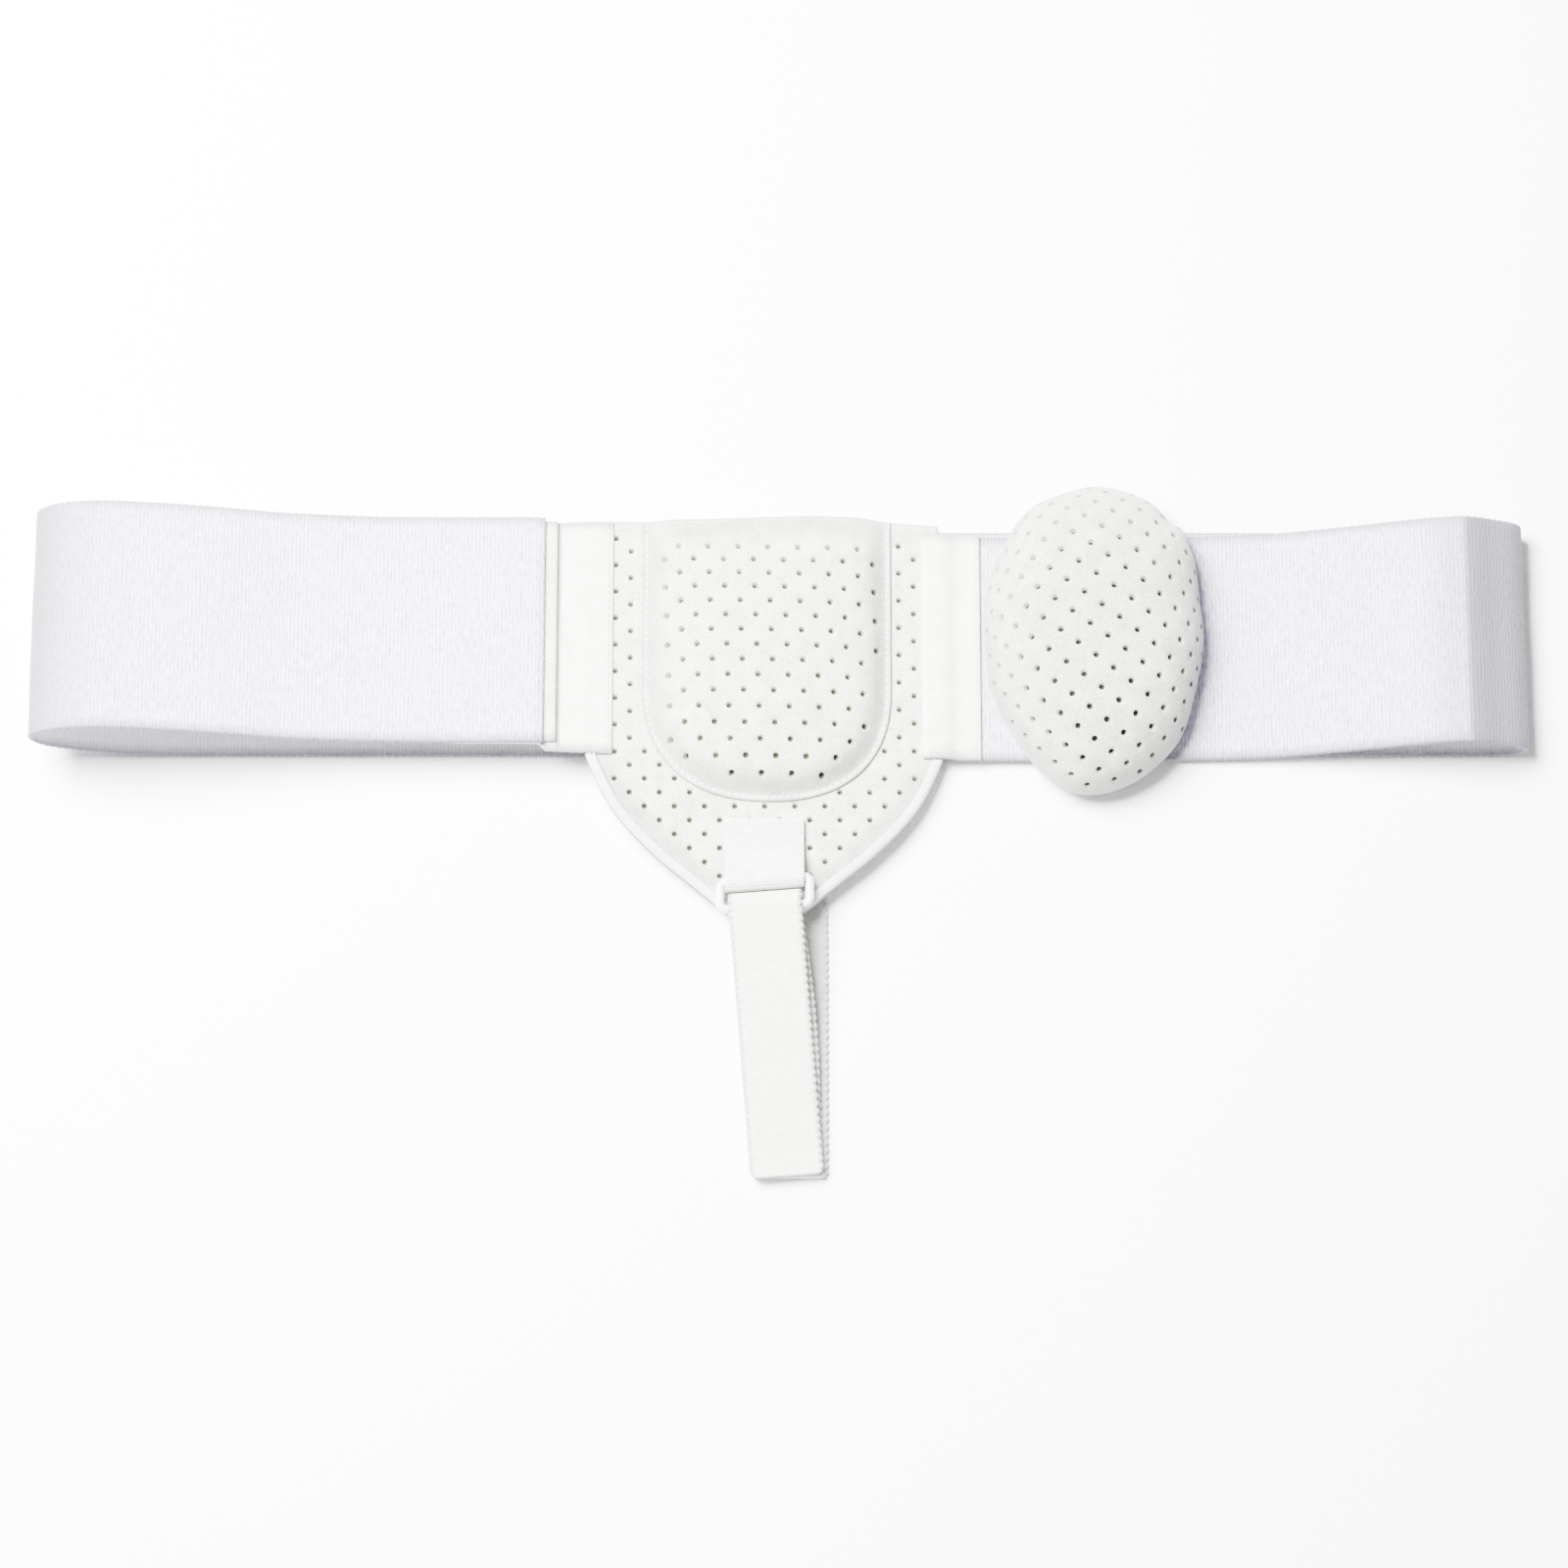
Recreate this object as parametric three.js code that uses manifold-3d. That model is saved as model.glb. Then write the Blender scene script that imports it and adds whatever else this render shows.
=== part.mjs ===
// Elastic hernia belt, flattened and lying on a table with its front up. Millimetres, +Z up.
// X runs along the belt, Y points up the body, and the origin is on the table under the back run.
import * as THREE from "three";
import { mergeVertices } from "three/addons/utils/BufferGeometryUtils.js";
import Module from "manifold-3d";

const wasm = await Module();
wasm.setup();

// Clearance between pieces that touch.
const GAP = 0.3;

// Elastic waist web: one long ribbon, from the shield's right side round the back to its left side.
const WEB_WIDTH = 80;
const WEB_THICK = 2;
const LOOP_LEFT = 252; // from the origin to the web's middle line in the left turn
const LOOP_RIGHT = 253; // the same in the right turn
const LEFT_RISE = 37; // height of the left turn's hump
const RIGHT_RISE = 20.4; // height of the crease above the right turn
const FLAT_LEFT = 196; // reach of the flat back run to the left
const FLAT_RIGHT = 241; // and to the right
const LIFT_OFF = 156; // where the front leaves the back on the right

// Shield: stiff perforated laminate with a lobe below the belt.
const SHIELD_MIDDLE = -5.3;
const SHIELD_HALF = 60.6; // half width, edge tape included
const SHIELD_TOP = 40;
const LOBE_DROP = 55.2; // from there to the tip
const SHIELD_THICK = 3.2;
const SHIELD_LEFT_BASE = 11.1; // height of its underside at the left edge
const SHIELD_RIGHT_BASE = 3; // at the right edge
const TIP_BASE = 5; // at the tip of the lobe

// Edge tape round the lobe.
const TAPE_THICK = 0.8;
const TAPE_REACH = 3.3; // how far it folds over the shield

// Tabs that join the web to the shield, and the hook strip under the web's loose end.
const TAB_THICK = 1.5;
const LEFT_TAB_OUT = 116; // how far the left tab reaches under the web
const LEFT_TAB_LAP = 9; // how far it laps over the shield
const LEFT_TAB_SHIFT = -1.6; // how far down the body it sits
const RIGHT_TAB_LAP = 7;
const RIGHT_TAB_WIDTH = 20;
const HOOK_THICK = 1;
const HOOK_LENGTH = 30;
const HOOK_PEEK = 3.6; // how far it shows past the web's end
const WEB_END = 80; // where the web's loose end lies, left of the origin
const WEB_BUTT = 2.5; // space between the shield's right edge and the sewn end of the web
const RIGHT_SHIFT = -2.4; // how far the right front of the web lies down the body

// Padded pocket on the shield.
const POCKET_HALF = 42.4;
const POCKET_TOP = 37.5;
const POCKET_WAIST = -18; // where the straight sides end
const POCKET_DROP = 42.2; // from there to its lowest point
const POCKET_SQUARE = 2.35; // exponent of its rounded bottom
const POCKET_CROWN = 8.5;
const POCKET_CORNER = 7;

// Egg-shaped compression pad.
const EGG_X = 107;
const EGG_Y = -1;
const EGG_HALF_WIDTH = 37.3;
const EGG_HALF_HEIGHT = 54.6;
const EGG_CROWN = 27;

// Ring, its keeper and the leg strap.
const BAR = 3; // thickness of the ring's bars
const RING_WIDTH = 33.2;
const RING_HEIGHT = 12.4;
const RING_CORNER = 2.2; // radius of its corners along the middle of the bar
const RING_X = -5.1;
const RING_ABOVE_TIP = 7.2; // from the tip of the lobe up to the middle of the ring
const KEEPER_WIDTH = 26.6;
const KEEPER_THICK = 1.2;
const KEEPER_LENGTH = 22.5; // from the ring's upper bar to its sewn edge
const STRAP_WIDTH = 24.8;
const STRAP_THICK = 1.5;
const STRAP_BOTTOM = -186.5; // where the strap folds
const STRAP_SEAM = 26; // length sewn to the back run
const STRAP_LEAN = 8.6; // how far the strap swings to the right on its way down
const STRAP_BACK_X = 3.9; // middle of its back run

// Perforation of the shield's margin.
const HOLE_WIDTH = 1.7;
const HOLE_PITCH = 10.3; // the holes lie on the corners and middles of squares of this side
const HOLE_MARGIN = 4.2; // least distance from a seam

const lerp = THREE.MathUtils.lerp;
const smoothstep = THREE.MathUtils.smoothstep;

const MATERIALS = {
  web: new THREE.MeshStandardMaterial({ color: 0xf1f0f7, roughness: 0.92, metalness: 0 }),
  hook: new THREE.MeshStandardMaterial({ color: 0xf3f1e8, roughness: 0.85, metalness: 0 }),
  tab: new THREE.MeshStandardMaterial({ color: 0xfafaf7, roughness: 0.9, metalness: 0 }),
  shield: new THREE.MeshStandardMaterial({ color: 0xf3f3f0, roughness: 0.88, metalness: 0 }),
  tape: new THREE.MeshStandardMaterial({ color: 0xf8f8f6, roughness: 0.8, metalness: 0 }),
  ring: new THREE.MeshStandardMaterial({ color: 0xf4f4f2, roughness: 0.35, metalness: 0 }),
  strap: new THREE.MeshStandardMaterial({ color: 0xf6f6f4, roughness: 0.92, metalness: 0 }),
};

// Lofts a flat profile, a list of [across, up] in mm, through frames of { at, across, up }.
function loft(profile, frames, closed = false) {
  const points = [];
  for (const { at, across, up } of frames)
    for (const [a, b] of profile)
      points.push(at.clone().addScaledVector(across, a).addScaledVector(up, b));
  const n = profile.length;
  const faces = [];
  const last = closed ? frames.length : frames.length - 1;
  for (let i = 0; i < last; i++)
    for (let k = 0; k < n; k++) {
      const j = (i + 1) % frames.length;
      const [p, q] = [i * n + k, i * n + ((k + 1) % n)];
      const [r, s] = [j * n + k, j * n + ((k + 1) % n)];
      faces.push(p, q, s, p, s, r);
    }
  if (!closed) {
    const flat = profile.map(([a, b]) => new THREE.Vector2(a, b));
    const end = (frames.length - 1) * n;
    for (const [a, b, c] of THREE.ShapeUtils.triangulateShape(flat, [])) {
      faces.push(a, c, b);
      faces.push(end + a, end + b, end + c);
    }
  }
  return outward(points, faces);
}

// Makes a geometry from points and triangles, with its faces turned outwards.
function outward(points, faces) {
  let volume = 0;
  for (let i = 0; i < faces.length; i += 3) {
    const [a, b, c] = [points[faces[i]], points[faces[i + 1]], points[faces[i + 2]]];
    volume += a.dot(b.clone().cross(c));
  }
  const turned = volume < 0 ? [...faces].reverse() : faces;
  const geometry = new THREE.BufferGeometry().setFromPoints(points);
  geometry.setIndex(turned);
  geometry.computeVertexNormals();
  return geometry;
}

// A flat ribbon's profile, with its two long edges slightly rounded.
function ribbon(width, thick) {
  const [w, t, soft] = [width / 2, thick / 2, thick / 4];
  return [
    [-w + soft, -t],
    [w - soft, -t],
    [w, 0],
    [w - soft, t],
    [-w + soft, t],
    [-w, 0],
  ];
}

// Frames for a ribbon whose middle line is given as points, with its width lying along one direction.
function ribbonFrames(points, across) {
  return points.map((at, i) => {
    const before = points[Math.max(i - 1, 0)];
    const after = points[Math.min(i + 1, points.length - 1)];
    const side = typeof across === "function" ? across(at) : across;
    const up = new THREE.Vector3().subVectors(after, before).cross(side).normalize();
    return { at, across: side, up };
  });
}

// A smooth curve through points, with a number of steps for each span.
function smooth(points, steps) {
  const curve = new THREE.CatmullRomCurve3(points, false, "centripetal");
  return curve.getPoints(steps * (points.length - 1));
}

const SHIELD_LEFT = SHIELD_MIDDLE - SHIELD_HALF;
const SHIELD_RIGHT = SHIELD_MIDDLE + SHIELD_HALF;
// The lobe starts just below the lower of the two tabs.
const SHIELD_SHOULDER = -WEB_WIDTH / 2 + Math.min(RIGHT_SHIFT, LEFT_TAB_SHIFT) - GAP;
const SHIELD_TIP = SHIELD_SHOULDER - LOBE_DROP;

// Height of the shield's underside: a ramp from left to right that levels out towards the tip.
function shieldBase(x, y) {
  const along = (x - SHIELD_MIDDLE + SHIELD_HALF) / (2 * SHIELD_HALF);
  const ramp = lerp(SHIELD_LEFT_BASE, SHIELD_RIGHT_BASE, along);
  const down = smoothstep(SHIELD_SHOULDER - y, 0, LOBE_DROP);
  return lerp(ramp, TIP_BASE, down);
}

function shieldTop(x, y) {
  return shieldBase(x, y) + SHIELD_THICK;
}

const BACK_TOP = WEB_THICK;
const FRONT_ON_BACK = BACK_TOP + GAP + WEB_THICK / 2;

// Middle height of the web's loose end: it lies on the hook strip, which lies on the left tab.
const LEFT_TAB_LEVEL = shieldTop(SHIELD_LEFT, 0) + GAP + TAB_THICK / 2;
const HOOK_LEVEL = LEFT_TAB_LEVEL + TAB_THICK / 2 + GAP + HOOK_THICK / 2;
const LOOSE_END_LEVEL = HOOK_LEVEL + HOOK_THICK / 2 + GAP + WEB_THICK / 2;

// The web's left turn, from the loose end over the hump to the flat back run. out is a share of the way
// from the loose end to the turn, rise a share of the hump's height.
const LEFT_TURN = [
  { out: 0.35, rise: 0.535 },
  { out: 0.51, rise: 0.64 },
  { out: 0.655, rise: 0.825 },
  { out: 0.77, rise: 0.955 },
  { out: 0.866, rise: 1.0 },
  { out: 0.945, rise: 0.93 },
  { out: 0.99, rise: 0.76 },
  { out: 1.0, rise: 0.61 },
  { out: 0.982, rise: 0.42 },
  { out: 0.94, rise: 0.285 },
  { out: 0.882, rise: 0.165 },
  { out: 0.815, rise: 0.085 },
];

// The web's right turn, from the flat back run round to the front. out is a share of the way from the
// lift-off to the turn, rise a share of the crease's height.
const RIGHT_TURN = [
  { out: 0.952, rise: 0.105 },
  { out: 0.99, rise: 0.25 },
  { out: 1.0, rise: 0.44 },
  { out: 0.972, rise: 0.61 },
  { out: 0.905, rise: 0.8 },
  { out: 0.83, rise: 0.965 },
  { out: 0.8, rise: 1.0 },
  { out: 0.765, rise: 0.99 },
  { out: 0.68, rise: 0.925 },
  { out: 0.495, rise: 0.665 },
  { out: 0.31, rise: 0.43 },
  { out: 0.14, rise: 0.24 },
];

// Share of the web's full shift that a point on its right front has: none in the turn, all at the egg pad.
function rightShift(x) {
  return RIGHT_SHIFT * (1 - smoothstep(x, EGG_X, LOOP_RIGHT - WEB_THICK));
}

function webCourse() {
  const at = (x, z, y = 0) => new THREE.Vector3(x, y, z);
  const outward = (share) => -lerp(WEB_END, LOOP_LEFT, share);
  const left = [
    at(-WEB_END, LOOSE_END_LEVEL),
    at(-LEFT_TAB_OUT, LOOSE_END_LEVEL),
    ...LEFT_TURN.map((row) => at(outward(row.out), row.rise * LEFT_RISE)),
    at(-FLAT_LEFT, WEB_THICK / 2),
  ];
  const right = [
    at(FLAT_RIGHT, WEB_THICK / 2),
    ...RIGHT_TURN.map((row) => {
      const x = lerp(LIFT_OFF, LOOP_RIGHT, row.out);
      return at(x, row.rise * RIGHT_RISE, rightShift(x));
    }),
    at(LIFT_OFF, FRONT_ON_BACK, rightShift(LIFT_OFF)),
    at(EGG_X, FRONT_ON_BACK, rightShift(EGG_X)),
    at(SHIELD_RIGHT + WEB_BUTT, FRONT_ON_BACK, rightShift(EGG_X)),
  ];
  return [...smooth(left, 3), ...smooth(right, 3)];
}

const ALONG_Y = new THREE.Vector3(0, 1, 0);

function waistBelt() {
  return loft(ribbon(WEB_WIDTH, WEB_THICK), ribbonFrames(webCourse(), ALONG_Y));
}

// A band whose middle line runs through the rows' points.
function bandAlongX(width, thick, rows) {
  const points = rows.map(({ x, y, z }) => new THREE.Vector3(x, y, z));
  return loft(ribbon(width, thick), ribbonFrames(points, ALONG_Y));
}

function hookStrip() {
  const start = -WEB_END + HOOK_PEEK;
  return bandAlongX(WEB_WIDTH - 2 * HOOK_THICK, HOOK_THICK, [
    { x: start, y: 0, z: HOOK_LEVEL },
    { x: start - HOOK_LENGTH, y: 0, z: HOOK_LEVEL },
  ]);
}

// Lies level under the web, then follows the shield's slope where it laps over it.
function leftTab() {
  const lapEnd = SHIELD_LEFT + LEFT_TAB_LAP;
  const onShield = (x) => shieldTop(x, 0) + GAP + TAB_THICK / 2;
  return bandAlongX(WEB_WIDTH, TAB_THICK, [
    { x: -LEFT_TAB_OUT + HOOK_PEEK, y: LEFT_TAB_SHIFT, z: LEFT_TAB_LEVEL },
    { x: SHIELD_LEFT, y: LEFT_TAB_SHIFT, z: LEFT_TAB_LEVEL },
    { x: lapEnd, y: LEFT_TAB_SHIFT, z: onShield(lapEnd) + GAP / 3 },
  ]);
}

// Bridges the step from the shield's right edge down to the web.
function rightTab() {
  const start = SHIELD_RIGHT - RIGHT_TAB_LAP;
  const onWeb = FRONT_ON_BACK + WEB_THICK / 2 + GAP + TAB_THICK / 2;
  const onShield = (x) => shieldTop(x, 0) + GAP + TAB_THICK / 2;
  const step = SHIELD_RIGHT + GAP;
  const y = rightShift(EGG_X);
  return bandAlongX(WEB_WIDTH, TAB_THICK, [
    { x: start, y, z: onShield(start) + GAP / 3 },
    { x: step, y, z: onShield(step) + GAP / 3 },
    { x: step + 2 * WEB_BUTT, y, z: onWeb },
    { x: start + RIGHT_TAB_WIDTH, y, z: onWeb },
  ]);
}

// Outline of the lobe. down is a share of the lobe's drop, half a share of the shield's half width.
const LOBE = [
  { down: 0.0, half: 1.0 },
  { down: 0.1, half: 0.963 },
  { down: 0.285, half: 0.878 },
  { down: 0.445, half: 0.768 },
  { down: 0.64, half: 0.588 },
  { down: 0.785, half: 0.425 },
  { down: 0.9, half: 0.298 },
  { down: 0.965, half: 0.225 },
  { down: 1.0, half: 0.12 },
];
const LOBE_STEPS = 2;

// Right half of the lobe's outline, from the shoulder to the tip, moved inwards by a distance.
function lobeSide(inset) {
  const rows = LOBE.map(
    ({ down, half }) =>
      new THREE.Vector3(half * SHIELD_HALF, SHIELD_SHOULDER - down * LOBE_DROP, 0),
  );
  const curve = smooth(rows, LOBE_STEPS);
  return curve.map((p, i) => {
    const before = i === 0 ? p.clone().add(ALONG_Y) : curve[i - 1];
    const after = i === curve.length - 1 ? p.clone().setX(p.x - 1) : curve[i + 1];
    const along = new THREE.Vector3().subVectors(after, before).normalize();
    return new THREE.Vector3(p.x + along.y * inset, p.y - along.x * inset, 0);
  });
}

const EDGE_INSET = TAPE_THICK + GAP;

// The shield's plate, lofted through level sections from its top edge to its tip.
function shieldPlate() {
  const sides = [
    new THREE.Vector3(SHIELD_HALF - EDGE_INSET, SHIELD_TOP, 0),
    ...lobeSide(EDGE_INSET),
  ];
  const frames = sides.map(({ x: half, y }) => {
    const [left, right] = [SHIELD_MIDDLE - half, SHIELD_MIDDLE + half];
    const [zLeft, zRight] = [shieldBase(left, y), shieldBase(right, y)];
    return {
      at: new THREE.Vector3(left, y, zLeft),
      across: new THREE.Vector3(right - left, 0, zRight - zLeft),
      up: new THREE.Vector3(0, 0, SHIELD_THICK),
    };
  });
  return loft(
    [
      [0, 0],
      [1, 0],
      [1, 1],
      [0, 1],
    ],
    frames,
  );
}

// Half width of the shield at a height y down the body.
function shieldHalfAt(y) {
  if (y >= SHIELD_SHOULDER) return SHIELD_HALF;
  const side = lobeSide(0);
  const next = side.findIndex((p) => p.y < y);
  if (next < 1) return 0;
  const [a, b] = [side[next - 1], side[next]];
  return lerp(a.x, b.x, (y - a.y) / (b.y - a.y));
}

// Half width of the pocket's seam at y, a straight-sided form with a rounded bottom.
function pocketHalfAt(y) {
  if (y > POCKET_TOP) return 0;
  if (y >= POCKET_WAIST) return POCKET_HALF;
  const down = (POCKET_WAIST - y) / POCKET_DROP;
  return down >= 1 ? 0 : POCKET_HALF * (1 - down ** POCKET_SQUARE) ** (1 / POCKET_SQUARE);
}

// Middles of the margin's holes: on the lattice, clear of the edge, the pocket, the tabs and the keeper.
function marginHoles() {
  const holes = [];
  const half = HOLE_PITCH / 2;
  const keeperTop = SHIELD_TIP + RING_ABOVE_TIP + RING_HEIGHT / 2 + KEEPER_LENGTH;
  for (let row = 0; SHIELD_TOP - row * half > SHIELD_TIP; row++)
    for (let column = -14; column <= 14; column++) {
      if ((row + column) % 2) continue;
      const x = SHIELD_MIDDLE + column * half;
      const y = SHIELD_TOP - HOLE_MARGIN - row * half;
      const off = Math.abs(x - SHIELD_MIDDLE);
      const tab = y > SHIELD_SHOULDER - HOLE_MARGIN / 2 ? Math.max(LEFT_TAB_LAP, RIGHT_TAB_LAP) : 0;
      const below = y < POCKET_WAIST ? HOLE_MARGIN : 0;
      const inPocket = off < pocketHalfAt(y + below) + HOLE_MARGIN && y > POCKET_WAIST - POCKET_DROP - below;
      const inShield = off < shieldHalfAt(y - HOLE_MARGIN) - Math.max(HOLE_MARGIN, tab + HOLE_WIDTH);
      const inKeeper = Math.abs(x - RING_X) < KEEPER_WIDTH / 2 + HOLE_WIDTH && y < keeperTop;
      if (inShield && !inPocket && !inKeeper) holes.push(new THREE.Vector2(x, y));
    }
  return holes;
}

function asSolid(geometry) {
  const bare = geometry.clone();
  bare.deleteAttribute("normal");
  bare.deleteAttribute("uv");
  const merged = mergeVertices(bare, 1e-4);
  const vertProperties = new Float32Array(merged.attributes.position.array);
  const triVerts = new Uint32Array(merged.index.array);
  return new wasm.Manifold(new wasm.Mesh({ numProp: 3, vertProperties, triVerts }));
}

function asGeometry(solid) {
  const mesh = solid.getMesh();
  const geometry = new THREE.BufferGeometry();
  geometry.setAttribute("position", new THREE.BufferAttribute(mesh.vertProperties, 3));
  geometry.setIndex(new THREE.BufferAttribute(mesh.triVerts, 1));
  geometry.computeVertexNormals();
  return geometry;
}

function frontPanel() {
  let solid = asSolid(shieldPlate());
  for (const { x, y } of marginHoles()) {
    const deep = 3 * SHIELD_THICK;
    const drill = new THREE.CylinderGeometry(HOLE_WIDTH / 2, HOLE_WIDTH / 2, deep, 6);
    drill.rotateX(Math.PI / 2);
    drill.translate(x, y, shieldBase(x, y) + SHIELD_THICK / 2);
    solid = solid.subtract(asSolid(drill));
  }
  return asGeometry(solid);
}

// The tape's folded section: a wall outside the shield's edge with a flap above and one below it.
function edgeTape() {
  const right = lobeSide(0);
  const rim = [...right, ...right.map((p) => p.clone().setX(-p.x)).reverse()];
  const high = SHIELD_THICK + GAP + TAPE_THICK;
  const low = -GAP - TAPE_THICK;
  const profile = [
    [0, low],
    [0, high],
    [-TAPE_REACH, high],
    [-TAPE_REACH, high - TAPE_THICK],
    [-TAPE_THICK, high - TAPE_THICK],
    [-TAPE_THICK, low + TAPE_THICK],
    [-TAPE_REACH, low + TAPE_THICK],
    [-TAPE_REACH, low],
  ];
  const frames = rim.map((p, i) => {
    const before = i === 0 ? p.clone().add(ALONG_Y) : rim[i - 1];
    const after = i === rim.length - 1 ? p.clone().add(ALONG_Y) : rim[i + 1];
    const along = new THREE.Vector3().subVectors(after, before).normalize();
    if (i === 0 || i === rim.length - 1) along.set(0, Math.sign(along.y), 0);
    const x = SHIELD_MIDDLE + p.x;
    return {
      at: new THREE.Vector3(x, p.y, shieldBase(x, p.y)),
      across: new THREE.Vector3(-along.y, along.x, 0),
      up: new THREE.Vector3(0, 0, 1),
    };
  });
  return loft(profile, frames);
}

// A cushion: its outline rises through levels of { share, rise } over a base that follows a function.
function dome(outline, middle, levels, crown, base) {
  const points = [];
  const n = outline.length;
  for (const { share, rise } of levels)
    for (const p of outline) {
      const [x, y] = [lerp(middle.x, p.x, share), lerp(middle.y, p.y, share)];
      points.push(new THREE.Vector3(x, y, base(x, y) + rise * crown));
    }
  const faces = [];
  for (let i = 0; i < levels.length - 1; i++)
    for (let k = 0; k < n; k++) {
      const m = (k + 1) % n;
      faces.push(i * n + k, i * n + m, (i + 1) * n + m);
      faces.push(i * n + k, (i + 1) * n + m, (i + 1) * n + k);
    }
  points.push(new THREE.Vector3(middle.x, middle.y, base(middle.x, middle.y) + crown));
  points.push(new THREE.Vector3(middle.x, middle.y, base(middle.x, middle.y)));
  const [top, bottom] = [points.length - 2, points.length - 1];
  for (let k = 0; k < n; k++) {
    const m = (k + 1) % n;
    faces.push((levels.length - 1) * n + k, (levels.length - 1) * n + m, top);
    faces.push(m, k, bottom);
  }
  return outward(points, faces);
}

const POCKET_LEVELS = [
  { share: 0.3, rise: 0.0 },
  { share: 0.6, rise: 0.0 },
  { share: 0.8, rise: 0.0 },
  { share: 1.0, rise: 0.0 },
  { share: 1.0, rise: 0.14 },
  { share: 0.955, rise: 0.32 },
  { share: 0.905, rise: 0.66 },
  { share: 0.84, rise: 0.86 },
  { share: 0.7, rise: 0.97 },
  { share: 0.4, rise: 1.0 },
];
const POCKET_SIDES = 12; // points round half of its bottom

function pocketPad() {
  const outline = [];
  const corner = (x, y, from) => {
    for (let k = 0; k <= 4; k++) {
      const turn = from + (k * Math.PI) / 8;
      outline.push(
        new THREE.Vector2(x + POCKET_CORNER * Math.cos(turn), y + POCKET_CORNER * Math.sin(turn)),
      );
    }
  };
  const inner = POCKET_HALF - POCKET_CORNER;
  corner(SHIELD_MIDDLE + inner, POCKET_TOP - POCKET_CORNER, 0);
  corner(SHIELD_MIDDLE - inner, POCKET_TOP - POCKET_CORNER, Math.PI / 2);
  for (let k = 0; k <= 2 * POCKET_SIDES; k++) {
    const turn = (Math.PI * k) / (2 * POCKET_SIDES);
    const power = 2 / POCKET_SQUARE;
    const across = -Math.sign(Math.cos(turn)) * Math.abs(Math.cos(turn)) ** power;
    const down = Math.sin(turn) ** power;
    outline.push(
      new THREE.Vector2(SHIELD_MIDDLE + across * POCKET_HALF, POCKET_WAIST - down * POCKET_DROP),
    );
  }
  const middle = new THREE.Vector2(SHIELD_MIDDLE, (POCKET_TOP + POCKET_WAIST - POCKET_DROP) / 2);
  const seat = (x, y) => shieldTop(x, y) + GAP;
  return dome(outline, middle, POCKET_LEVELS, POCKET_CROWN, seat);
}

// The egg's outline. turn is in degrees from +X, reach a share of the half width and half height there:
// 1 is a true ellipse. The pad is pulled in where the belt's upper edge crosses it.
const EGG_OUTLINE = [
  { turn: 0, reach: 1.0 },
  { turn: 15, reach: 1.005 },
  { turn: 30, reach: 1.07 },
  { turn: 41, reach: 1.09 },
  { turn: 46, reach: 1.05 },
  { turn: 58, reach: 1.045 },
  { turn: 75, reach: 1.01 },
  { turn: 90, reach: 1.0 },
  { turn: 105, reach: 0.99 },
  { turn: 122, reach: 1.025 },
  { turn: 134, reach: 1.03 },
  { turn: 141, reach: 1.02 },
  { turn: 160, reach: 1.035 },
  { turn: 180, reach: 1.01 },
  { turn: 200, reach: 1.0 },
  { turn: 225, reach: 0.97 },
  { turn: 240, reach: 0.99 },
  { turn: 255, reach: 1.01 },
  { turn: 270, reach: 0.995 },
  { turn: 285, reach: 0.98 },
  { turn: 300, reach: 0.98 },
  { turn: 320, reach: 1.0 },
  { turn: 340, reach: 0.975 },
];

const EGG_LEVELS = [
  { share: 0.93, rise: 0.0 },
  { share: 0.985, rise: 0.07 },
  { share: 1.0, rise: 0.16 },
  { share: 0.975, rise: 0.36 },
  { share: 0.9, rise: 0.59 },
  { share: 0.77, rise: 0.79 },
  { share: 0.57, rise: 0.93 },
  { share: 0.3, rise: 0.985 },
];

function eggPad() {
  const round = EGG_OUTLINE.map(({ turn, reach }) => {
    const angle = THREE.MathUtils.degToRad(turn);
    const x = EGG_X + EGG_HALF_WIDTH * reach * Math.cos(angle);
    const y = EGG_Y + EGG_HALF_HEIGHT * reach * Math.sin(angle);
    return new THREE.Vector3(x, y, 0);
  });
  const curve = new THREE.CatmullRomCurve3(round, true, "centripetal");
  const outline = curve.getPoints(2 * round.length).slice(0, -1);
  const seat = FRONT_ON_BACK + WEB_THICK / 2 + GAP;
  return dome(outline, new THREE.Vector2(EGG_X, EGG_Y), EGG_LEVELS, EGG_CROWN, () => seat);
}

// Heights of the pieces stacked on the tip: strap over the tape, ring over the strap.
const STRAP_ON_TIP = TIP_BASE + SHIELD_THICK + GAP + TAPE_THICK + GAP + STRAP_THICK / 2;
const RING_LEVEL = STRAP_ON_TIP + STRAP_THICK / 2 + GAP + BAR / 2;
const RING_Y = SHIELD_TIP + RING_ABOVE_TIP;
const UPPER_BAR = RING_Y + RING_HEIGHT / 2 - BAR / 2;
const LOWER_BAR = RING_Y - RING_HEIGHT / 2 + BAR / 2;

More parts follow.
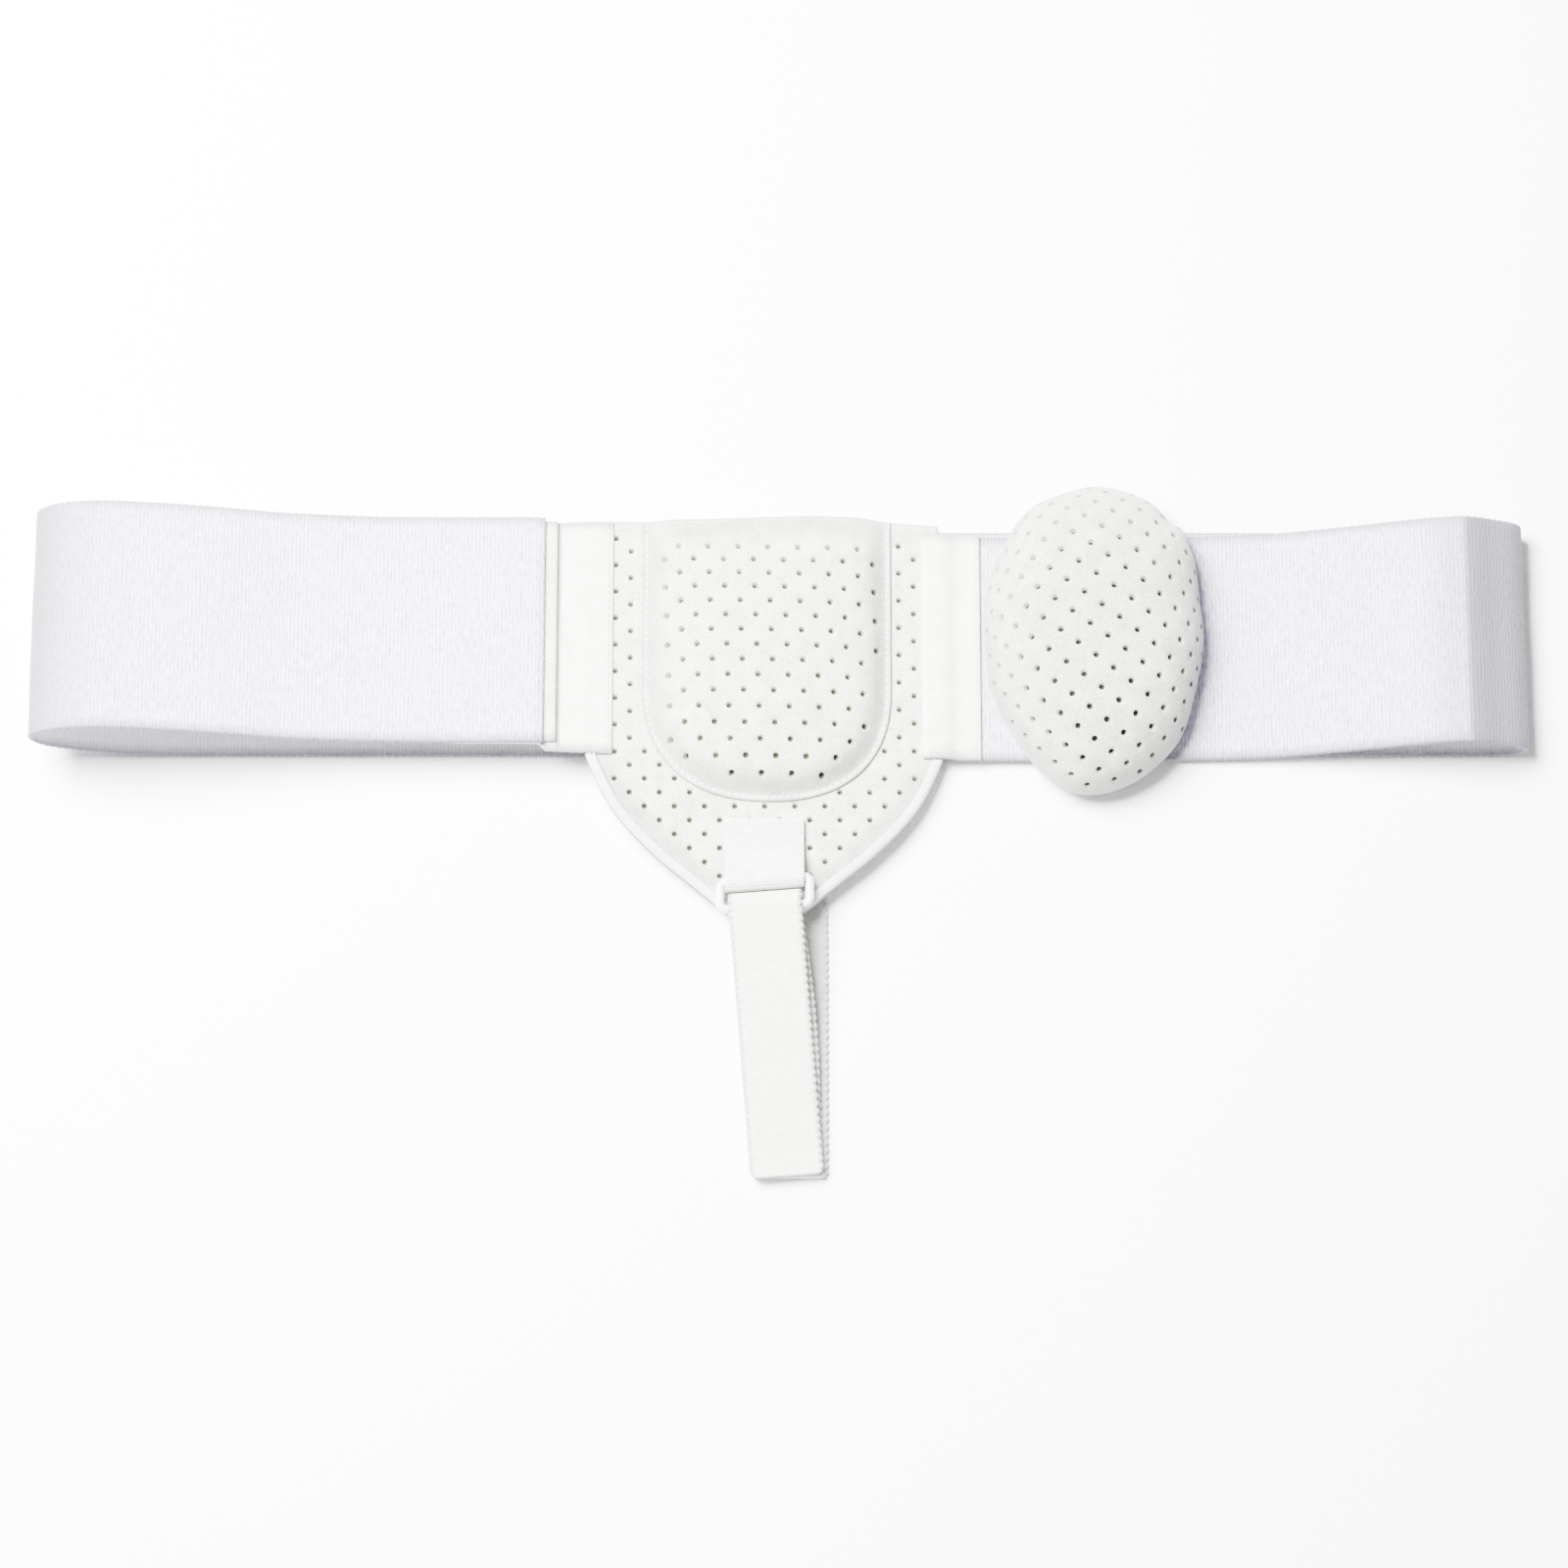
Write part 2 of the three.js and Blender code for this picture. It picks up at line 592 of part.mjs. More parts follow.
// Rectangular ring of a round bar, along a rounded rectangle.
function strapRing() {
  const [w, h] = [(RING_WIDTH - BAR) / 2 - RING_CORNER, (RING_HEIGHT - BAR) / 2 - RING_CORNER];
  const corners = [
    { x: w, y: h, from: 0 },
    { x: -w, y: h, from: 90 },
    { x: -w, y: -h, from: 180 },
    { x: w, y: -h, from: 270 },
  ];
  const frames = [];
  for (const { x, y, from } of corners)
    for (let k = 0; k <= 4; k++) {
      const turn = THREE.MathUtils.degToRad(from + k * 22.5);
      const out = new THREE.Vector3(Math.cos(turn), Math.sin(turn), 0);
      const at = new THREE.Vector3(RING_X + x, RING_Y + y, RING_LEVEL).addScaledVector(out, RING_CORNER);
      frames.push({ at, across: out, up: new THREE.Vector3(0, 0, 1) });
    }
  const profile = [];
  for (let k = 0; k < 8; k++) {
    const turn = (k * Math.PI) / 4;
    profile.push([(BAR / 2) * Math.cos(turn), (BAR / 2) * Math.sin(turn)]);
  }
  return loft(profile, frames, true);
}

// Points of a half turn round a bar, in the plane of Y and Z, from below to above it.
function roundBar(x, y, reach, side, leanX) {
  const points = [];
  for (let k = 0; k <= 6; k++) {
    const turn = -Math.PI / 2 + (Math.PI * k) / 6;
    points.push(
      new THREE.Vector3(
        x + leanX * k,
        y + side * reach * Math.cos(turn),
        RING_LEVEL + reach * Math.sin(turn),
      ),
    );
  }
  return points;
}

const ALONG_X = new THREE.Vector3(1, 0, 0);

// Folded webbing that holds the ring's upper bar, sewn flat to the lobe. Its layers lie on the shield's
// slope from side to side.
function strapKeeper() {
  const reach = BAR / 2 + GAP + KEEPER_THICK / 2;
  const end = UPPER_BAR + KEEPER_LENGTH;
  const slope = (at) => {
    const [a, b] = [shieldTop(at.x - 1, at.y), shieldTop(at.x + 1, at.y)];
    const ease = smoothstep(at.y, UPPER_BAR, UPPER_BAR + KEEPER_LENGTH / 2);
    return new THREE.Vector3(1, 0, ((b - a) / 2) * ease).normalize();
  };
  const at = (share, layer) => {
    const y = lerp(UPPER_BAR, end, share);
    const rise = GAP + KEEPER_THICK / 2 + layer * (KEEPER_THICK + GAP);
    return new THREE.Vector3(RING_X, y, shieldTop(RING_X, y) + rise);
  };
  const points = [
    at(0.95, 0),
    at(0.7, 0),
    at(0.45, 0),
    at(0.26, 0.15),
    ...roundBar(RING_X, UPPER_BAR, reach, -1, 0),
    at(0.2, 3.1),
    at(0.36, 1.75),
    at(0.48, 1.15),
    at(0.7, 1),
    at(1, 1),
  ];
  return loft(ribbon(KEEPER_WIDTH, KEEPER_THICK), ribbonFrames(points, slope));
}

// The strap's rise above the table along its middle run, from the fold up to the tip. up is a share of
// the way, rise a share of the climb, and front the same for the front run that lies over it.
const STRAP_RUNS = [
  { up: 0.93, middle: 0.97, front: 0.95 },
  { up: 0.82, middle: 0.87, front: 0.83 },
  { up: 0.65, middle: 0.68, front: 0.64 },
  { up: 0.45, middle: 0.42, front: 0.4 },
  { up: 0.25, middle: 0.19, front: 0.18 },
  { up: 0.08, middle: 0.04, front: 0.04 },
];

function legStrap() {
  const half = STRAP_THICK / 2;
  const fold = (STRAP_THICK + GAP) / 2;
  const reach = BAR / 2 + GAP + half;
  const foldY = STRAP_BOTTOM + fold + half;
  const leanAt = (y) => {
    const share = (y - LOWER_BAR) / (STRAP_BOTTOM - LOWER_BAR);
    return RING_X + STRAP_LEAN * THREE.MathUtils.clamp(share, 0, 1);
  };
  const sewn = BACK_TOP + GAP + half;
  const webEdge = -WEB_WIDTH / 2;
  const back = [
    new THREE.Vector3(STRAP_BACK_X, webEdge + STRAP_SEAM, sewn),
    new THREE.Vector3(STRAP_BACK_X, webEdge - 2 * GAP, sewn),
    new THREE.Vector3(STRAP_BACK_X, webEdge - 3 * STRAP_THICK, half),
    new THREE.Vector3(STRAP_BACK_X, foldY, half),
  ];
  const middleZ = half + 2 * fold;
  const turn = [30, 60, 90, 120, 150, 180].map((degrees) => {
    const angle = THREE.MathUtils.degToRad(degrees);
    const x = lerp(STRAP_BACK_X, leanAt(foldY), degrees / 180);
    return new THREE.Vector3(x, foldY - fold * Math.sin(angle), half + fold - fold * Math.cos(angle));
  });
  const run = (row, share, from, to) => {
    const y = lerp(foldY, LOWER_BAR - reach, row.up);
    return new THREE.Vector3(leanAt(y), y, lerp(from, to, share));
  };
  const middle = STRAP_RUNS.map((row) => run(row, row.middle, middleZ, RING_LEVEL - reach)).reverse();
  const frontZ = middleZ + STRAP_THICK + GAP;
  const front = STRAP_RUNS.map((row) => run(row, row.front, frontZ, RING_LEVEL + reach));
  const points = [
    ...back,
    ...turn,
    ...middle,
    ...roundBar(RING_X, LOWER_BAR, reach, 1, 0),
    ...front,
    new THREE.Vector3(leanAt(STRAP_BOTTOM), STRAP_BOTTOM, frontZ),
  ];
  return loft(ribbon(STRAP_WIDTH, STRAP_THICK), ribbonFrames(points, ALONG_X));
}

function piece(name, geometry, material) {
  const mesh = new THREE.Mesh(geometry, material);
  mesh.name = name;
  return mesh;
}

const belt = new THREE.Group();
belt.add(piece("waist_belt", waistBelt(), MATERIALS.web));
belt.add(piece("belt_end_hook", hookStrip(), MATERIALS.hook));
belt.add(piece("left_tab", leftTab(), MATERIALS.tab));
belt.add(piece("right_tab", rightTab(), MATERIALS.tab));

const shield = new THREE.Group();
shield.add(piece("front_panel", frontPanel(), MATERIALS.shield));
shield.add(piece("panel_binding", edgeTape(), MATERIALS.tape));
shield.add(piece("pocket_pad", pocketPad(), MATERIALS.shield));

const legPieces = new THREE.Group();
legPieces.add(piece("strap_keeper", strapKeeper(), MATERIALS.tab));
legPieces.add(piece("strap_ring", strapRing(), MATERIALS.ring));
legPieces.add(piece("leg_strap", legStrap(), MATERIALS.strap));

const herniaBelt = new THREE.Group();
herniaBelt.add(belt, shield, legPieces);
herniaBelt.add(piece("compression_pad", eggPad(), MATERIALS.shield));

export default herniaBelt;
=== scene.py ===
"""Looks of an elastic hernia belt that lies flattened on a table, front side up.

Lengths are in millimetres up to the moment a mesh is made, then in metres. Each ribbon (waist web, tabs,
hook strip, keeper, leg strap) is a closed flat section swept along a path: a point of it is
at(s) + across(s) * a + up(s) * b, with s along the path and (a, b) round the section. The perforated covers
(shield, pocket, egg pad) are flat cuttings, with round holes on a lattice, which are lifted onto a crowned
surface: a lift gives the place in space of each point of the cutting. The egg's cutting is
measured along its meridians, so that the holes spread over the crown as they do on the real fabric. The
pocket's and the egg's covers are then blown up over their foam by a cloth simulation on a coarse grid, and
their meshes follow that grid. A point attribute darkens the cloth towards grey as painted shade: in the web's
turns, round the egg pad, along edges and seams, across a tab, and on the strap's back run under its front run.
"""

import math

import bpy
import numpy as np
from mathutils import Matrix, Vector, geometry


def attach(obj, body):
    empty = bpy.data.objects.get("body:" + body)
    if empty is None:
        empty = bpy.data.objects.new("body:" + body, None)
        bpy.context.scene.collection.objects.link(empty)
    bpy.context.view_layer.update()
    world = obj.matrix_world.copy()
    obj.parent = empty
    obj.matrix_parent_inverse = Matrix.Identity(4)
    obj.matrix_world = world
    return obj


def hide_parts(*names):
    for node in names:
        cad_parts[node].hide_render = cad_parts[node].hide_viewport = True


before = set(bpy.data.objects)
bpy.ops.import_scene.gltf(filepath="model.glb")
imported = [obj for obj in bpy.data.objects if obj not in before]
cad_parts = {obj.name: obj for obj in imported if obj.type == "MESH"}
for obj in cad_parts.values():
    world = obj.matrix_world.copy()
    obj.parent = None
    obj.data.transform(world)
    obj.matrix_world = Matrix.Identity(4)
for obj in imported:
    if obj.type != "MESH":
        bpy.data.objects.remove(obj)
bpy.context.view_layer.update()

MM = 0.001
GAP = 0.3  # between pieces that are sewn, pressed or laid together

# Elastic waist web.
WEB_WIDTH = 80
WEB_THICK = 2
LOOP_LEFT = 252  # from the origin to the web's middle line in the left turn
LOOP_RIGHT = 253
LEFT_RISE = 37  # the middle line's greatest height in each turn
RIGHT_RISE = 20.4
FLAT_LEFT = 196  # how far the back run lies flat on the table
FLAT_RIGHT = 241
LIFT_OFF = 156  # where the front of the web leaves the back on the right
WEB_END = 80  # where its loose end lies, left of the origin
WEB_BUTT = 2.5  # from the shield's right side to its sewn end
CREASE = 229  # where it is folded hard before the right turn
RIGHT_SHIFT = -2.4  # place up the body of its right front, which lies a little down

# Shield, its tape, the tabs and the hook strip.
SHIELD_MIDDLE = -5.3
SHIELD_HALF = 60.6
SHIELD_TOP = 40
LOBE_DROP = 55.2
SHIELD_THICK = 3.2
SHIELD_LEFT_BASE = 11.1  # height of its underside on the left, on the right and at the tip
SHIELD_RIGHT_BASE = 3
TIP_BASE = 5
TAPE_THICK = 0.8
TAPE_REACH = 3.3  # how far the tape is folded onto the shield
TAB_THICK = 1.5
LEFT_TAB_OUT = 116
LEFT_TAB_LAP = 9  # how far the tabs lie on the shield
LEFT_TAB_SHIFT = -1.6
RIGHT_TAB_LAP = 7
RIGHT_TAB_WIDTH = 20
HOOK_THICK = 1
HOOK_LENGTH = 30
HOOK_PEEK = 4.2  # how much of it shows past the web's loose end

# Padded pocket and egg-shaped pad.
POCKET_MIDDLE = -4.5
POCKET_HALF = 42.4
POCKET_WAIST = -18  # where its sides begin to turn in
POCKET_DROP = 40.2
POCKET_SQUARE = 2.35  # power of its rounded bottom: 2 is an ellipse, and more is squarer
POCKET_CROWN = 8.5
EGG_X = 107
EGG_Y = -1
EGG_HALF_WIDTH = 37.3
EGG_HALF_HEIGHT = 54.6
EGG_CROWN = 27

# Ring, keeper and leg strap.
BAR = 3
RING_WIDTH = 33.2
RING_HEIGHT = 12.4
RING_CORNER = 2.2  # radius of the bar's middle line in its corners
RING_X = -5.1
RING_ABOVE_TIP = 7.2
RING_TURN = 0.078  # its slant: rise up the body for each mm to the right
KEEPER_WIDTH = 26.6
KEEPER_THICK = 1.2
KEEPER_LENGTH = 21.6
STRAP_WIDTH = 24.8
STRAP_THICK = 1.5
STRAP_BOTTOM = -185.6
STRAP_SEAM = 26  # how much of it is sewn to the back run
STRAP_LEAN = 7.5  # how far the front run drifts to the right from the ring to the fold
STRAP_BACK_X = 3.9
PICOT_PITCH = 2.6  # spacing of the small teeth along its edges

SHIELD_LEFT = SHIELD_MIDDLE - SHIELD_HALF
SHIELD_RIGHT = SHIELD_MIDDLE + SHIELD_HALF
SHIELD_SHOULDER = -WEB_WIDTH / 2 + min(RIGHT_SHIFT, LEFT_TAB_SHIFT) - GAP
SHIELD_TIP = SHIELD_SHOULDER - LOBE_DROP
FRONT_ON_BACK = WEB_THICK + GAP + WEB_THICK / 2
LEFT_TAB_LEVEL = SHIELD_LEFT_BASE + SHIELD_THICK + GAP + TAB_THICK / 2
HOOK_LEVEL = LEFT_TAB_LEVEL + TAB_THICK / 2 + GAP + HOOK_THICK / 2
LOOSE_END_LEVEL = HOOK_LEVEL + HOOK_THICK / 2 + GAP + WEB_THICK / 2
STRAP_ON_TIP = TIP_BASE + SHIELD_THICK + GAP + TAPE_THICK + GAP + STRAP_THICK / 2
RING_LEVEL = STRAP_ON_TIP + STRAP_THICK / 2 + GAP + BAR / 2
RING_Y = SHIELD_TIP + RING_ABOVE_TIP
UPPER_BAR = RING_Y + RING_HEIGHT / 2 - BAR / 2
LOWER_BAR = RING_Y - RING_HEIGHT / 2 + BAR / 2


def lerp(a, b, t):
    return a + (b - a) * t


def smoothstep(x, low, high):
    """0 up to low, 1 from high on, and an even rise between."""
    t = np.clip((x - low) / (high - low), 0, 1)
    return t * t * (3 - 2 * t)


def near(x, middle, width):
    """A bell about a middle, 1 at its top."""
    return np.exp(-(((x - middle) / width) ** 2))


def unit(v):
    return v / np.maximum(np.linalg.norm(v, axis=-1, keepdims=True), 1e-12)


def length_along(path):
    """Distance along a path at each of its points."""
    return np.concatenate([[0], np.cumsum(np.linalg.norm(np.diff(path, axis=0), axis=1))])


def evenly(path, step):
    """The same path with points about a step apart."""
    s = length_along(path)
    at = np.linspace(0, s[-1], max(2, int(round(s[-1] / step)) + 1))
    return np.stack([np.interp(at, s, path[:, k]) for k in range(path.shape[1])], axis=1)


CURVE_STEPS = 24


def spline(points, step, closed=False):
    """Centripetal Catmull-Rom curve through points, with even spacing."""
    p = np.asarray(points, float)
    if closed:
        p = np.vstack([p[-1:], p, p[:2]])
    else:
        p = np.vstack([2 * p[0] - p[1], p, 2 * p[-1] - p[-2]])
    p0, p1, p2, p3 = p[:-3, None], p[1:-2, None], p[2:-1, None], p[3:, None]
    d0, d1, d2 = (
        np.sqrt(np.linalg.norm(b - a, axis=2, keepdims=True)) for a, b in ((p0, p1), (p1, p2), (p2, p3))
    )
    m1 = ((p1 - p0) / d0 - (p2 - p0) / (d0 + d1) + (p2 - p1) / d1) * d1
    m2 = ((p2 - p1) / d1 - (p3 - p1) / (d1 + d2) + (p3 - p2) / d2) * d1
    t = np.linspace(0, 1, CURVE_STEPS, endpoint=False)[None, :, None]
    curve = p1 + m1 * t + (3 * (p2 - p1) - 2 * m1 - m2) * t**2 + (2 * (p1 - p2) + m1 + m2) * t**3
    path = np.vstack([curve.reshape(-1, p.shape[1]), p2[-1]])
    return evenly(path, step)


def waves(u, v, size, seed):
    """Smooth random unevenness between about -1 and 1, with a typical length in mm."""
    rng = np.random.default_rng(seed)
    total = np.zeros(np.broadcast(u, v).shape)
    for _ in range(7):
        turn, phase, k = rng.uniform(0, 2 * np.pi, 3)
        pace = 2 * np.pi / (size * (0.7 + 0.1 * k))
        total += np.sin((u * np.cos(turn) + v * np.sin(turn)) * pace + phase)
    return total / 4


def outward(points, groups):
    """Turns all faces outwards if the closed surface is inside out."""
    volume = 0
    for faces, _ in groups:
        a = points[faces[:, 0]]
        for k in range(1, faces.shape[1] - 1):
            volume += np.sum(a * np.cross(points[faces[:, k]], points[faces[:, k + 1]]))
    if volume < 0:
        groups = [(faces[:, ::-1], slot) for faces, slot in groups]
    return groups


def make(name, points, groups, materials, cloth=None, painted_shade=None):
    """A mesh from points in mm and groups of (faces, material slot). cloth is the place of each point on
    its flat cloth, in mm, for the weave. The last argument is painted shade: how far each point is darkened,
    from 0 to 1."""
    points = np.asarray(points, float)
    groups = outward(points, [(np.asarray(f, int), s) for f, s in groups if len(f)])
    mesh = bpy.data.meshes.new(name)
    corners = np.concatenate([f.ravel() for f, _ in groups])
    sizes = np.concatenate([np.full(len(f), f.shape[1]) for f, _ in groups])
    slots = np.concatenate([np.full(len(f), s) for f, s in groups])
    mesh.vertices.add(len(points))
    mesh.vertices.foreach_set("co", (points * MM).astype(np.float32).ravel())
    mesh.loops.add(len(corners))
    mesh.loops.foreach_set("vertex_index", corners.astype(np.int32))
    mesh.polygons.add(len(sizes))
    mesh.polygons.foreach_set("loop_start", (np.cumsum(sizes) - sizes).astype(np.int32))
    for material in materials:
        mesh.materials.append(material)
    mesh.polygons.foreach_set("material_index", slots.astype(np.int32))
    mesh.polygons.foreach_set("use_smooth", np.ones(len(sizes), bool))
    if cloth is not None:
        mesh.attributes.new("cloth", "FLOAT_VECTOR", "POINT")
        mesh.attributes["cloth"].data.foreach_set("vector", np.asarray(cloth, np.float32).ravel())
    if painted_shade is not None:
        mesh.attributes.new("painted_shade", "FLOAT", "POINT")
        mesh.attributes["painted_shade"].data.foreach_set("value", np.asarray(painted_shade, np.float32).ravel())
    mesh.update(calc_edges=True)
    mesh.validate()
    piece = bpy.data.objects.new(name, mesh)
    bpy.context.scene.collection.objects.link(piece)
    return piece


def mount(piece, slot, *nodes):
    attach(piece, "root")
    if nodes:
        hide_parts(*nodes)
    return piece


def sweep(section, at, across, up, closed=False):
    """Points and faces of a closed section carried along a path. section may change from station to station."""
    section = np.asarray(section, float)
    if section.ndim == 2:
        section = np.broadcast_to(section, (len(at), *section.shape))
    n, m = section.shape[:2]
    points = at[:, None] + across[:, None] * section[..., :1] + up[:, None] * section[..., 1:]
    here = np.arange(n if closed else n - 1)[:, None]
    ahead = (here + 1) % n * m
    here = here * m
    corner = np.arange(m)[None]
    beside = (corner + 1) % m
    quads = np.stack([here + corner, here + beside, ahead + beside, ahead + corner], axis=-1).reshape(-1, 4)
    groups = [(quads, 0)]
    if not closed:
        groups += [(np.arange(m)[None, ::-1], 0), ((n - 1) * m + np.arange(m)[None], 0)]
    return points.reshape(-1, 3), groups


EDGE_STEPS = 4  # points round each edge of a ribbon's section


def ribbon_section(width, thick, columns):
    """A flat closed section with rounded edges: outer face, edge, inner face, edge."""
    r = thick / 2
    flat = np.linspace(-1, 1, columns) * (width / 2 - r)
    turn = np.linspace(-np.pi / 2, np.pi / 2, EDGE_STEPS + 2)[1:-1]
    right = np.stack([width / 2 - r + r * np.cos(turn), r * np.sin(turn)], axis=1)
    low = np.stack([flat, np.full(columns, -r)], axis=1)
    high = np.stack([flat[::-1], np.full(columns, r)], axis=1)
    return np.vstack([low, right, high, right[::-1] * [-1, 1]])


def stations(path, width, thick, columns):
    """A ribbon's section once for each point of its path, so that each can be changed."""
    return np.repeat(ribbon_section(width, thick, columns)[None], len(path), axis=0)


def near_edge(section, width, begins, full=0.0):
    """1 at a ribbon's edges down to 0 within it: it begins and is full at these distances from the edge."""
    return smoothstep(np.abs(section[..., 0]), width / 2 - begins, width / 2 - full)


def ribbon_frames(path, across):
    """A ribbon's directions at each point of its path: across it, and out of its face."""
    across = np.broadcast_to(np.asarray(across, float), path.shape)
    return across, unit(np.cross(np.gradient(path, axis=0), across))


def cloth_of(path, section):
    """Place on the cloth of each point of a swept ribbon: along it, across it, and which face."""
    section = np.broadcast_to(section, (len(path), *section.shape[-2:]))
    along = np.broadcast_to(length_along(path)[:, None], section.shape[:2])
    return np.stack([along, section[..., 0], section[..., 1]], axis=-1).reshape(-1, 3)


def inside(points, outline):
    """Which points lie in a closed outline."""
    x, y = points[:, :1], points[:, 1:]
    ax, ay = outline[:, 0], outline[:, 1]
    bx, by = np.roll(ax, -1), np.roll(ay, -1)
    crosses = (ay > y) != (by > y)
    where = ax + (y - ay) * (bx - ax) / np.where(by == ay, 1e-12, by - ay)
    return np.sum(crosses & (x < where), axis=1) % 2 == 1


def edge_distance(points, outline):
    """Distance of each point from a closed outline."""
    a = outline[None]
    ab = np.roll(outline, -1, axis=0)[None] - a
    ap = points[:, None] - a
    t = np.clip(np.sum(ap * ab, axis=2) / np.maximum(np.sum(ab * ab, axis=2), 1e-12), 0, 1)
    return np.sqrt(np.min(np.sum((ap - ab * t[..., None]) ** 2, axis=2), axis=1))


def inset(outline, distance):
    """A closed outline moved inwards."""
    along = unit(np.roll(outline, -1, axis=0) - np.roll(outline, 1, axis=0))
    normal = np.stack([-along[:, 1], along[:, 0]], axis=1)
    area = np.sum(outline[:, 0] * np.roll(outline[:, 1], -1) - outline[:, 1] * np.roll(outline[:, 0], -1))
    return outline + normal * np.sign(area) * distance


def nearest(points, holes):
    """Distance of each point from the nearest hole's middle."""
    return np.min(np.linalg.norm(points[:, None] - holes[None], axis=2), axis=1, initial=np.inf)


HOLE_SIDES = 14
HOLE_DEPTH = 2.4
HOLE_TAPER = 0.9  # width of a hole's floor as a share of its mouth
LIP = 0.22  # how far a hole's rim is drawn in
COLLAR = 0.55  # width of the band of even faces round each hole
NO_HOLES = np.zeros((0, 2))
FAR = 99.0  # the distance from the outline that the holes' own points are given
NEARBY = 0.05  # how far round a point the slope of its cover is measured


def cutting(outline, holes, radius, spacing, rows=()):
    """Flat triangles inside an outline, with round holes left open. rows are distances from the outline at
    which points follow it. Gives the points, the faces, and the indices of the outline and of each rim."""
    turn = np.arange(HOLE_SIDES) * 2 * np.pi / HOLE_SIDES
    circle = np.stack([np.cos(turn), np.sin(turn)], axis=1)
    rims = (holes[:, None] + circle * radius).reshape(-1, 2)
    collar = (holes[:, None] + circle * (radius + COLLAR)).reshape(-1, 2)
    lines = [inset(outline, d)[:: max(1, int(d))] for d in rows]
    lines = [line[nearest(line, holes) > radius + COLLAR + 0.25] for line in lines]
    low, high = outline.min(0), outline.max(0)
    x, y = np.meshgrid(
        np.arange(low[0], high[0], spacing), np.arange(low[1], high[1], spacing * math.sqrt(3) / 2)
    )
    x = x + (np.arange(len(x)) % 2)[:, None] * spacing / 2
    grid = np.stack([x.ravel(), y.ravel()], axis=1)
    grid = grid[inside(grid, outline) & (edge_distance(grid, outline) > max(rows, default=0) + spacing * 0.6)]
    grid = grid[nearest(grid, holes) > radius + COLLAR + spacing * 0.5]
    points = np.vstack([outline, rims, collar, *lines, grid])
    n = len(outline)
    ring = np.arange(n)
    start = n + np.arange(len(holes))[:, None] * HOLE_SIDES
    k = np.arange(HOLE_SIDES)[None]
    loops = np.stack([start + k, start + (k + 1) % HOLE_SIDES], axis=2)
    edges = np.vstack([np.stack([ring, (ring + 1) % n], axis=1), loops.reshape(-1, 2)])
    result = geometry.delaunay_2d_cdt([Vector(p) for p in points], edges.tolist(), [], 0, 1e-6, True)
    flat = np.array([tuple(v) for v in result[0]])
    faces = np.array(result[2])
    new = np.full(len(points), -1)
    for index, originals in enumerate(result[3]):
        new[originals] = index
    middle = flat[faces].mean(axis=1)
    faces = faces[inside(middle, outline) & (nearest(middle, holes) > radius * 0.97)]
    return flat, faces, new[:n], new[n : n + len(rims)].reshape(-1, HOLE_SIDES)


def punched(outline, holes, radius, lift, base, spacing, rows):
    """A closed padded sheet: a punched cutting lifted to its place, blind holes, a side and an underside.
    Gives its points, its groups of faces, its flat cloth and each point's distance from the outline."""
    flat, faces, edge, rims = cutting(outline, holes, radius, spacing, rows)
    dx = lift(flat + [NEARBY, 0]) - lift(flat - [NEARBY, 0])
    dy = lift(flat + [0, NEARBY]) - lift(flat - [0, NEARBY])
    normal = unit(np.cross(dx, dy))
    top = lift(flat)
    r = rims.ravel()
    top[r] -= normal[r] * LIP
    centre = np.repeat(holes, HOLE_SIDES, axis=0)
    inner = lift(centre + (flat[r] - centre) * HOLE_TAPER) - normal[r] * HOLE_DEPTH
    floors = lift(holes) - unit(normal[rims].mean(axis=1)) * HOLE_DEPTH
    deep = len(top) + np.arange(rims.size).reshape(rims.shape)
    floor = np.broadcast_to(len(top) + rims.size + np.arange(len(holes))[:, None], deep.shape)
    wall = np.stack([rims, deep, np.roll(deep, -1, axis=1), np.roll(rims, -1, axis=1)], axis=-1)
    disc = np.stack([floor, np.roll(deep, -1, axis=1), deep], axis=-1)
    under, under_faces, under_edge, _ = cutting(outline, NO_HOLES, radius, spacing * 4)
    count = len(top) + len(inner) + len(floors)
    low = count + under_edge
    side = np.stack([edge, low, np.roll(low, -1), np.roll(edge, -1)], axis=1)
    groups = [(faces, 0), (wall.reshape(-1, 4), 1), (disc.reshape(-1, 3), 2), (side, 0)]
    groups.append((count + under_faces[:, ::-1], 0))
    points = np.vstack([top, inner, floors, base(under)])
    cloth = np.zeros((len(points), 3))
    cloth[: len(flat), :2], cloth[count:, :2] = flat, under
    far = np.full(count - len(flat), FAR)
    within = np.concatenate([edge_distance(flat, outline), far, np.zeros(len(under))])
    return points, consistent(points, groups), cloth, within


def consistent(points, groups):
    """Turns each group so that its neighbours' edges run the opposite way: the top faces up, the side and
    the underside face away from it, and the holes' walls face their middle."""
    top, turned = groups[0], []
    a, b, c = (points[top[0][:, k]] for k in range(3))
    up = np.sum(np.cross(b - a, c - a)[:, 2]) > 0
    first = top[0] if up else top[0][:, ::-1]
    turned.append((first, top[1]))
    edges = {tuple(e) for k in range(3) for e in np.stack([first[:, k], first[:, (k + 1) % 3]], axis=1)}
    for faces, slot in groups[1:]:
        runs = [tuple(e) for k in range(faces.shape[1])
                for e in np.stack([faces[:, k], faces[:, (k + 1) % faces.shape[1]]], axis=1)]
        if any(e in edges for e in runs):
            faces = faces[:, ::-1]
            runs = [(b, a) for a, b in runs]
        edges.update(runs)
        turned.append((faces, slot))
    return turned


def lattice(middle, step_a, step_b, outline, margin):
    """Holes on a lattice with two steps, clear of the outline."""
    i, j = (k.reshape(-1, 1) for k in np.meshgrid(np.arange(-40, 41), np.arange(-40, 41)))
    at = np.asarray(middle) + i * np.asarray(step_a) + j * np.asarray(step_b)
    at = at[inside(at, outline)]
    return at[edge_distance(at, outline) > margin]


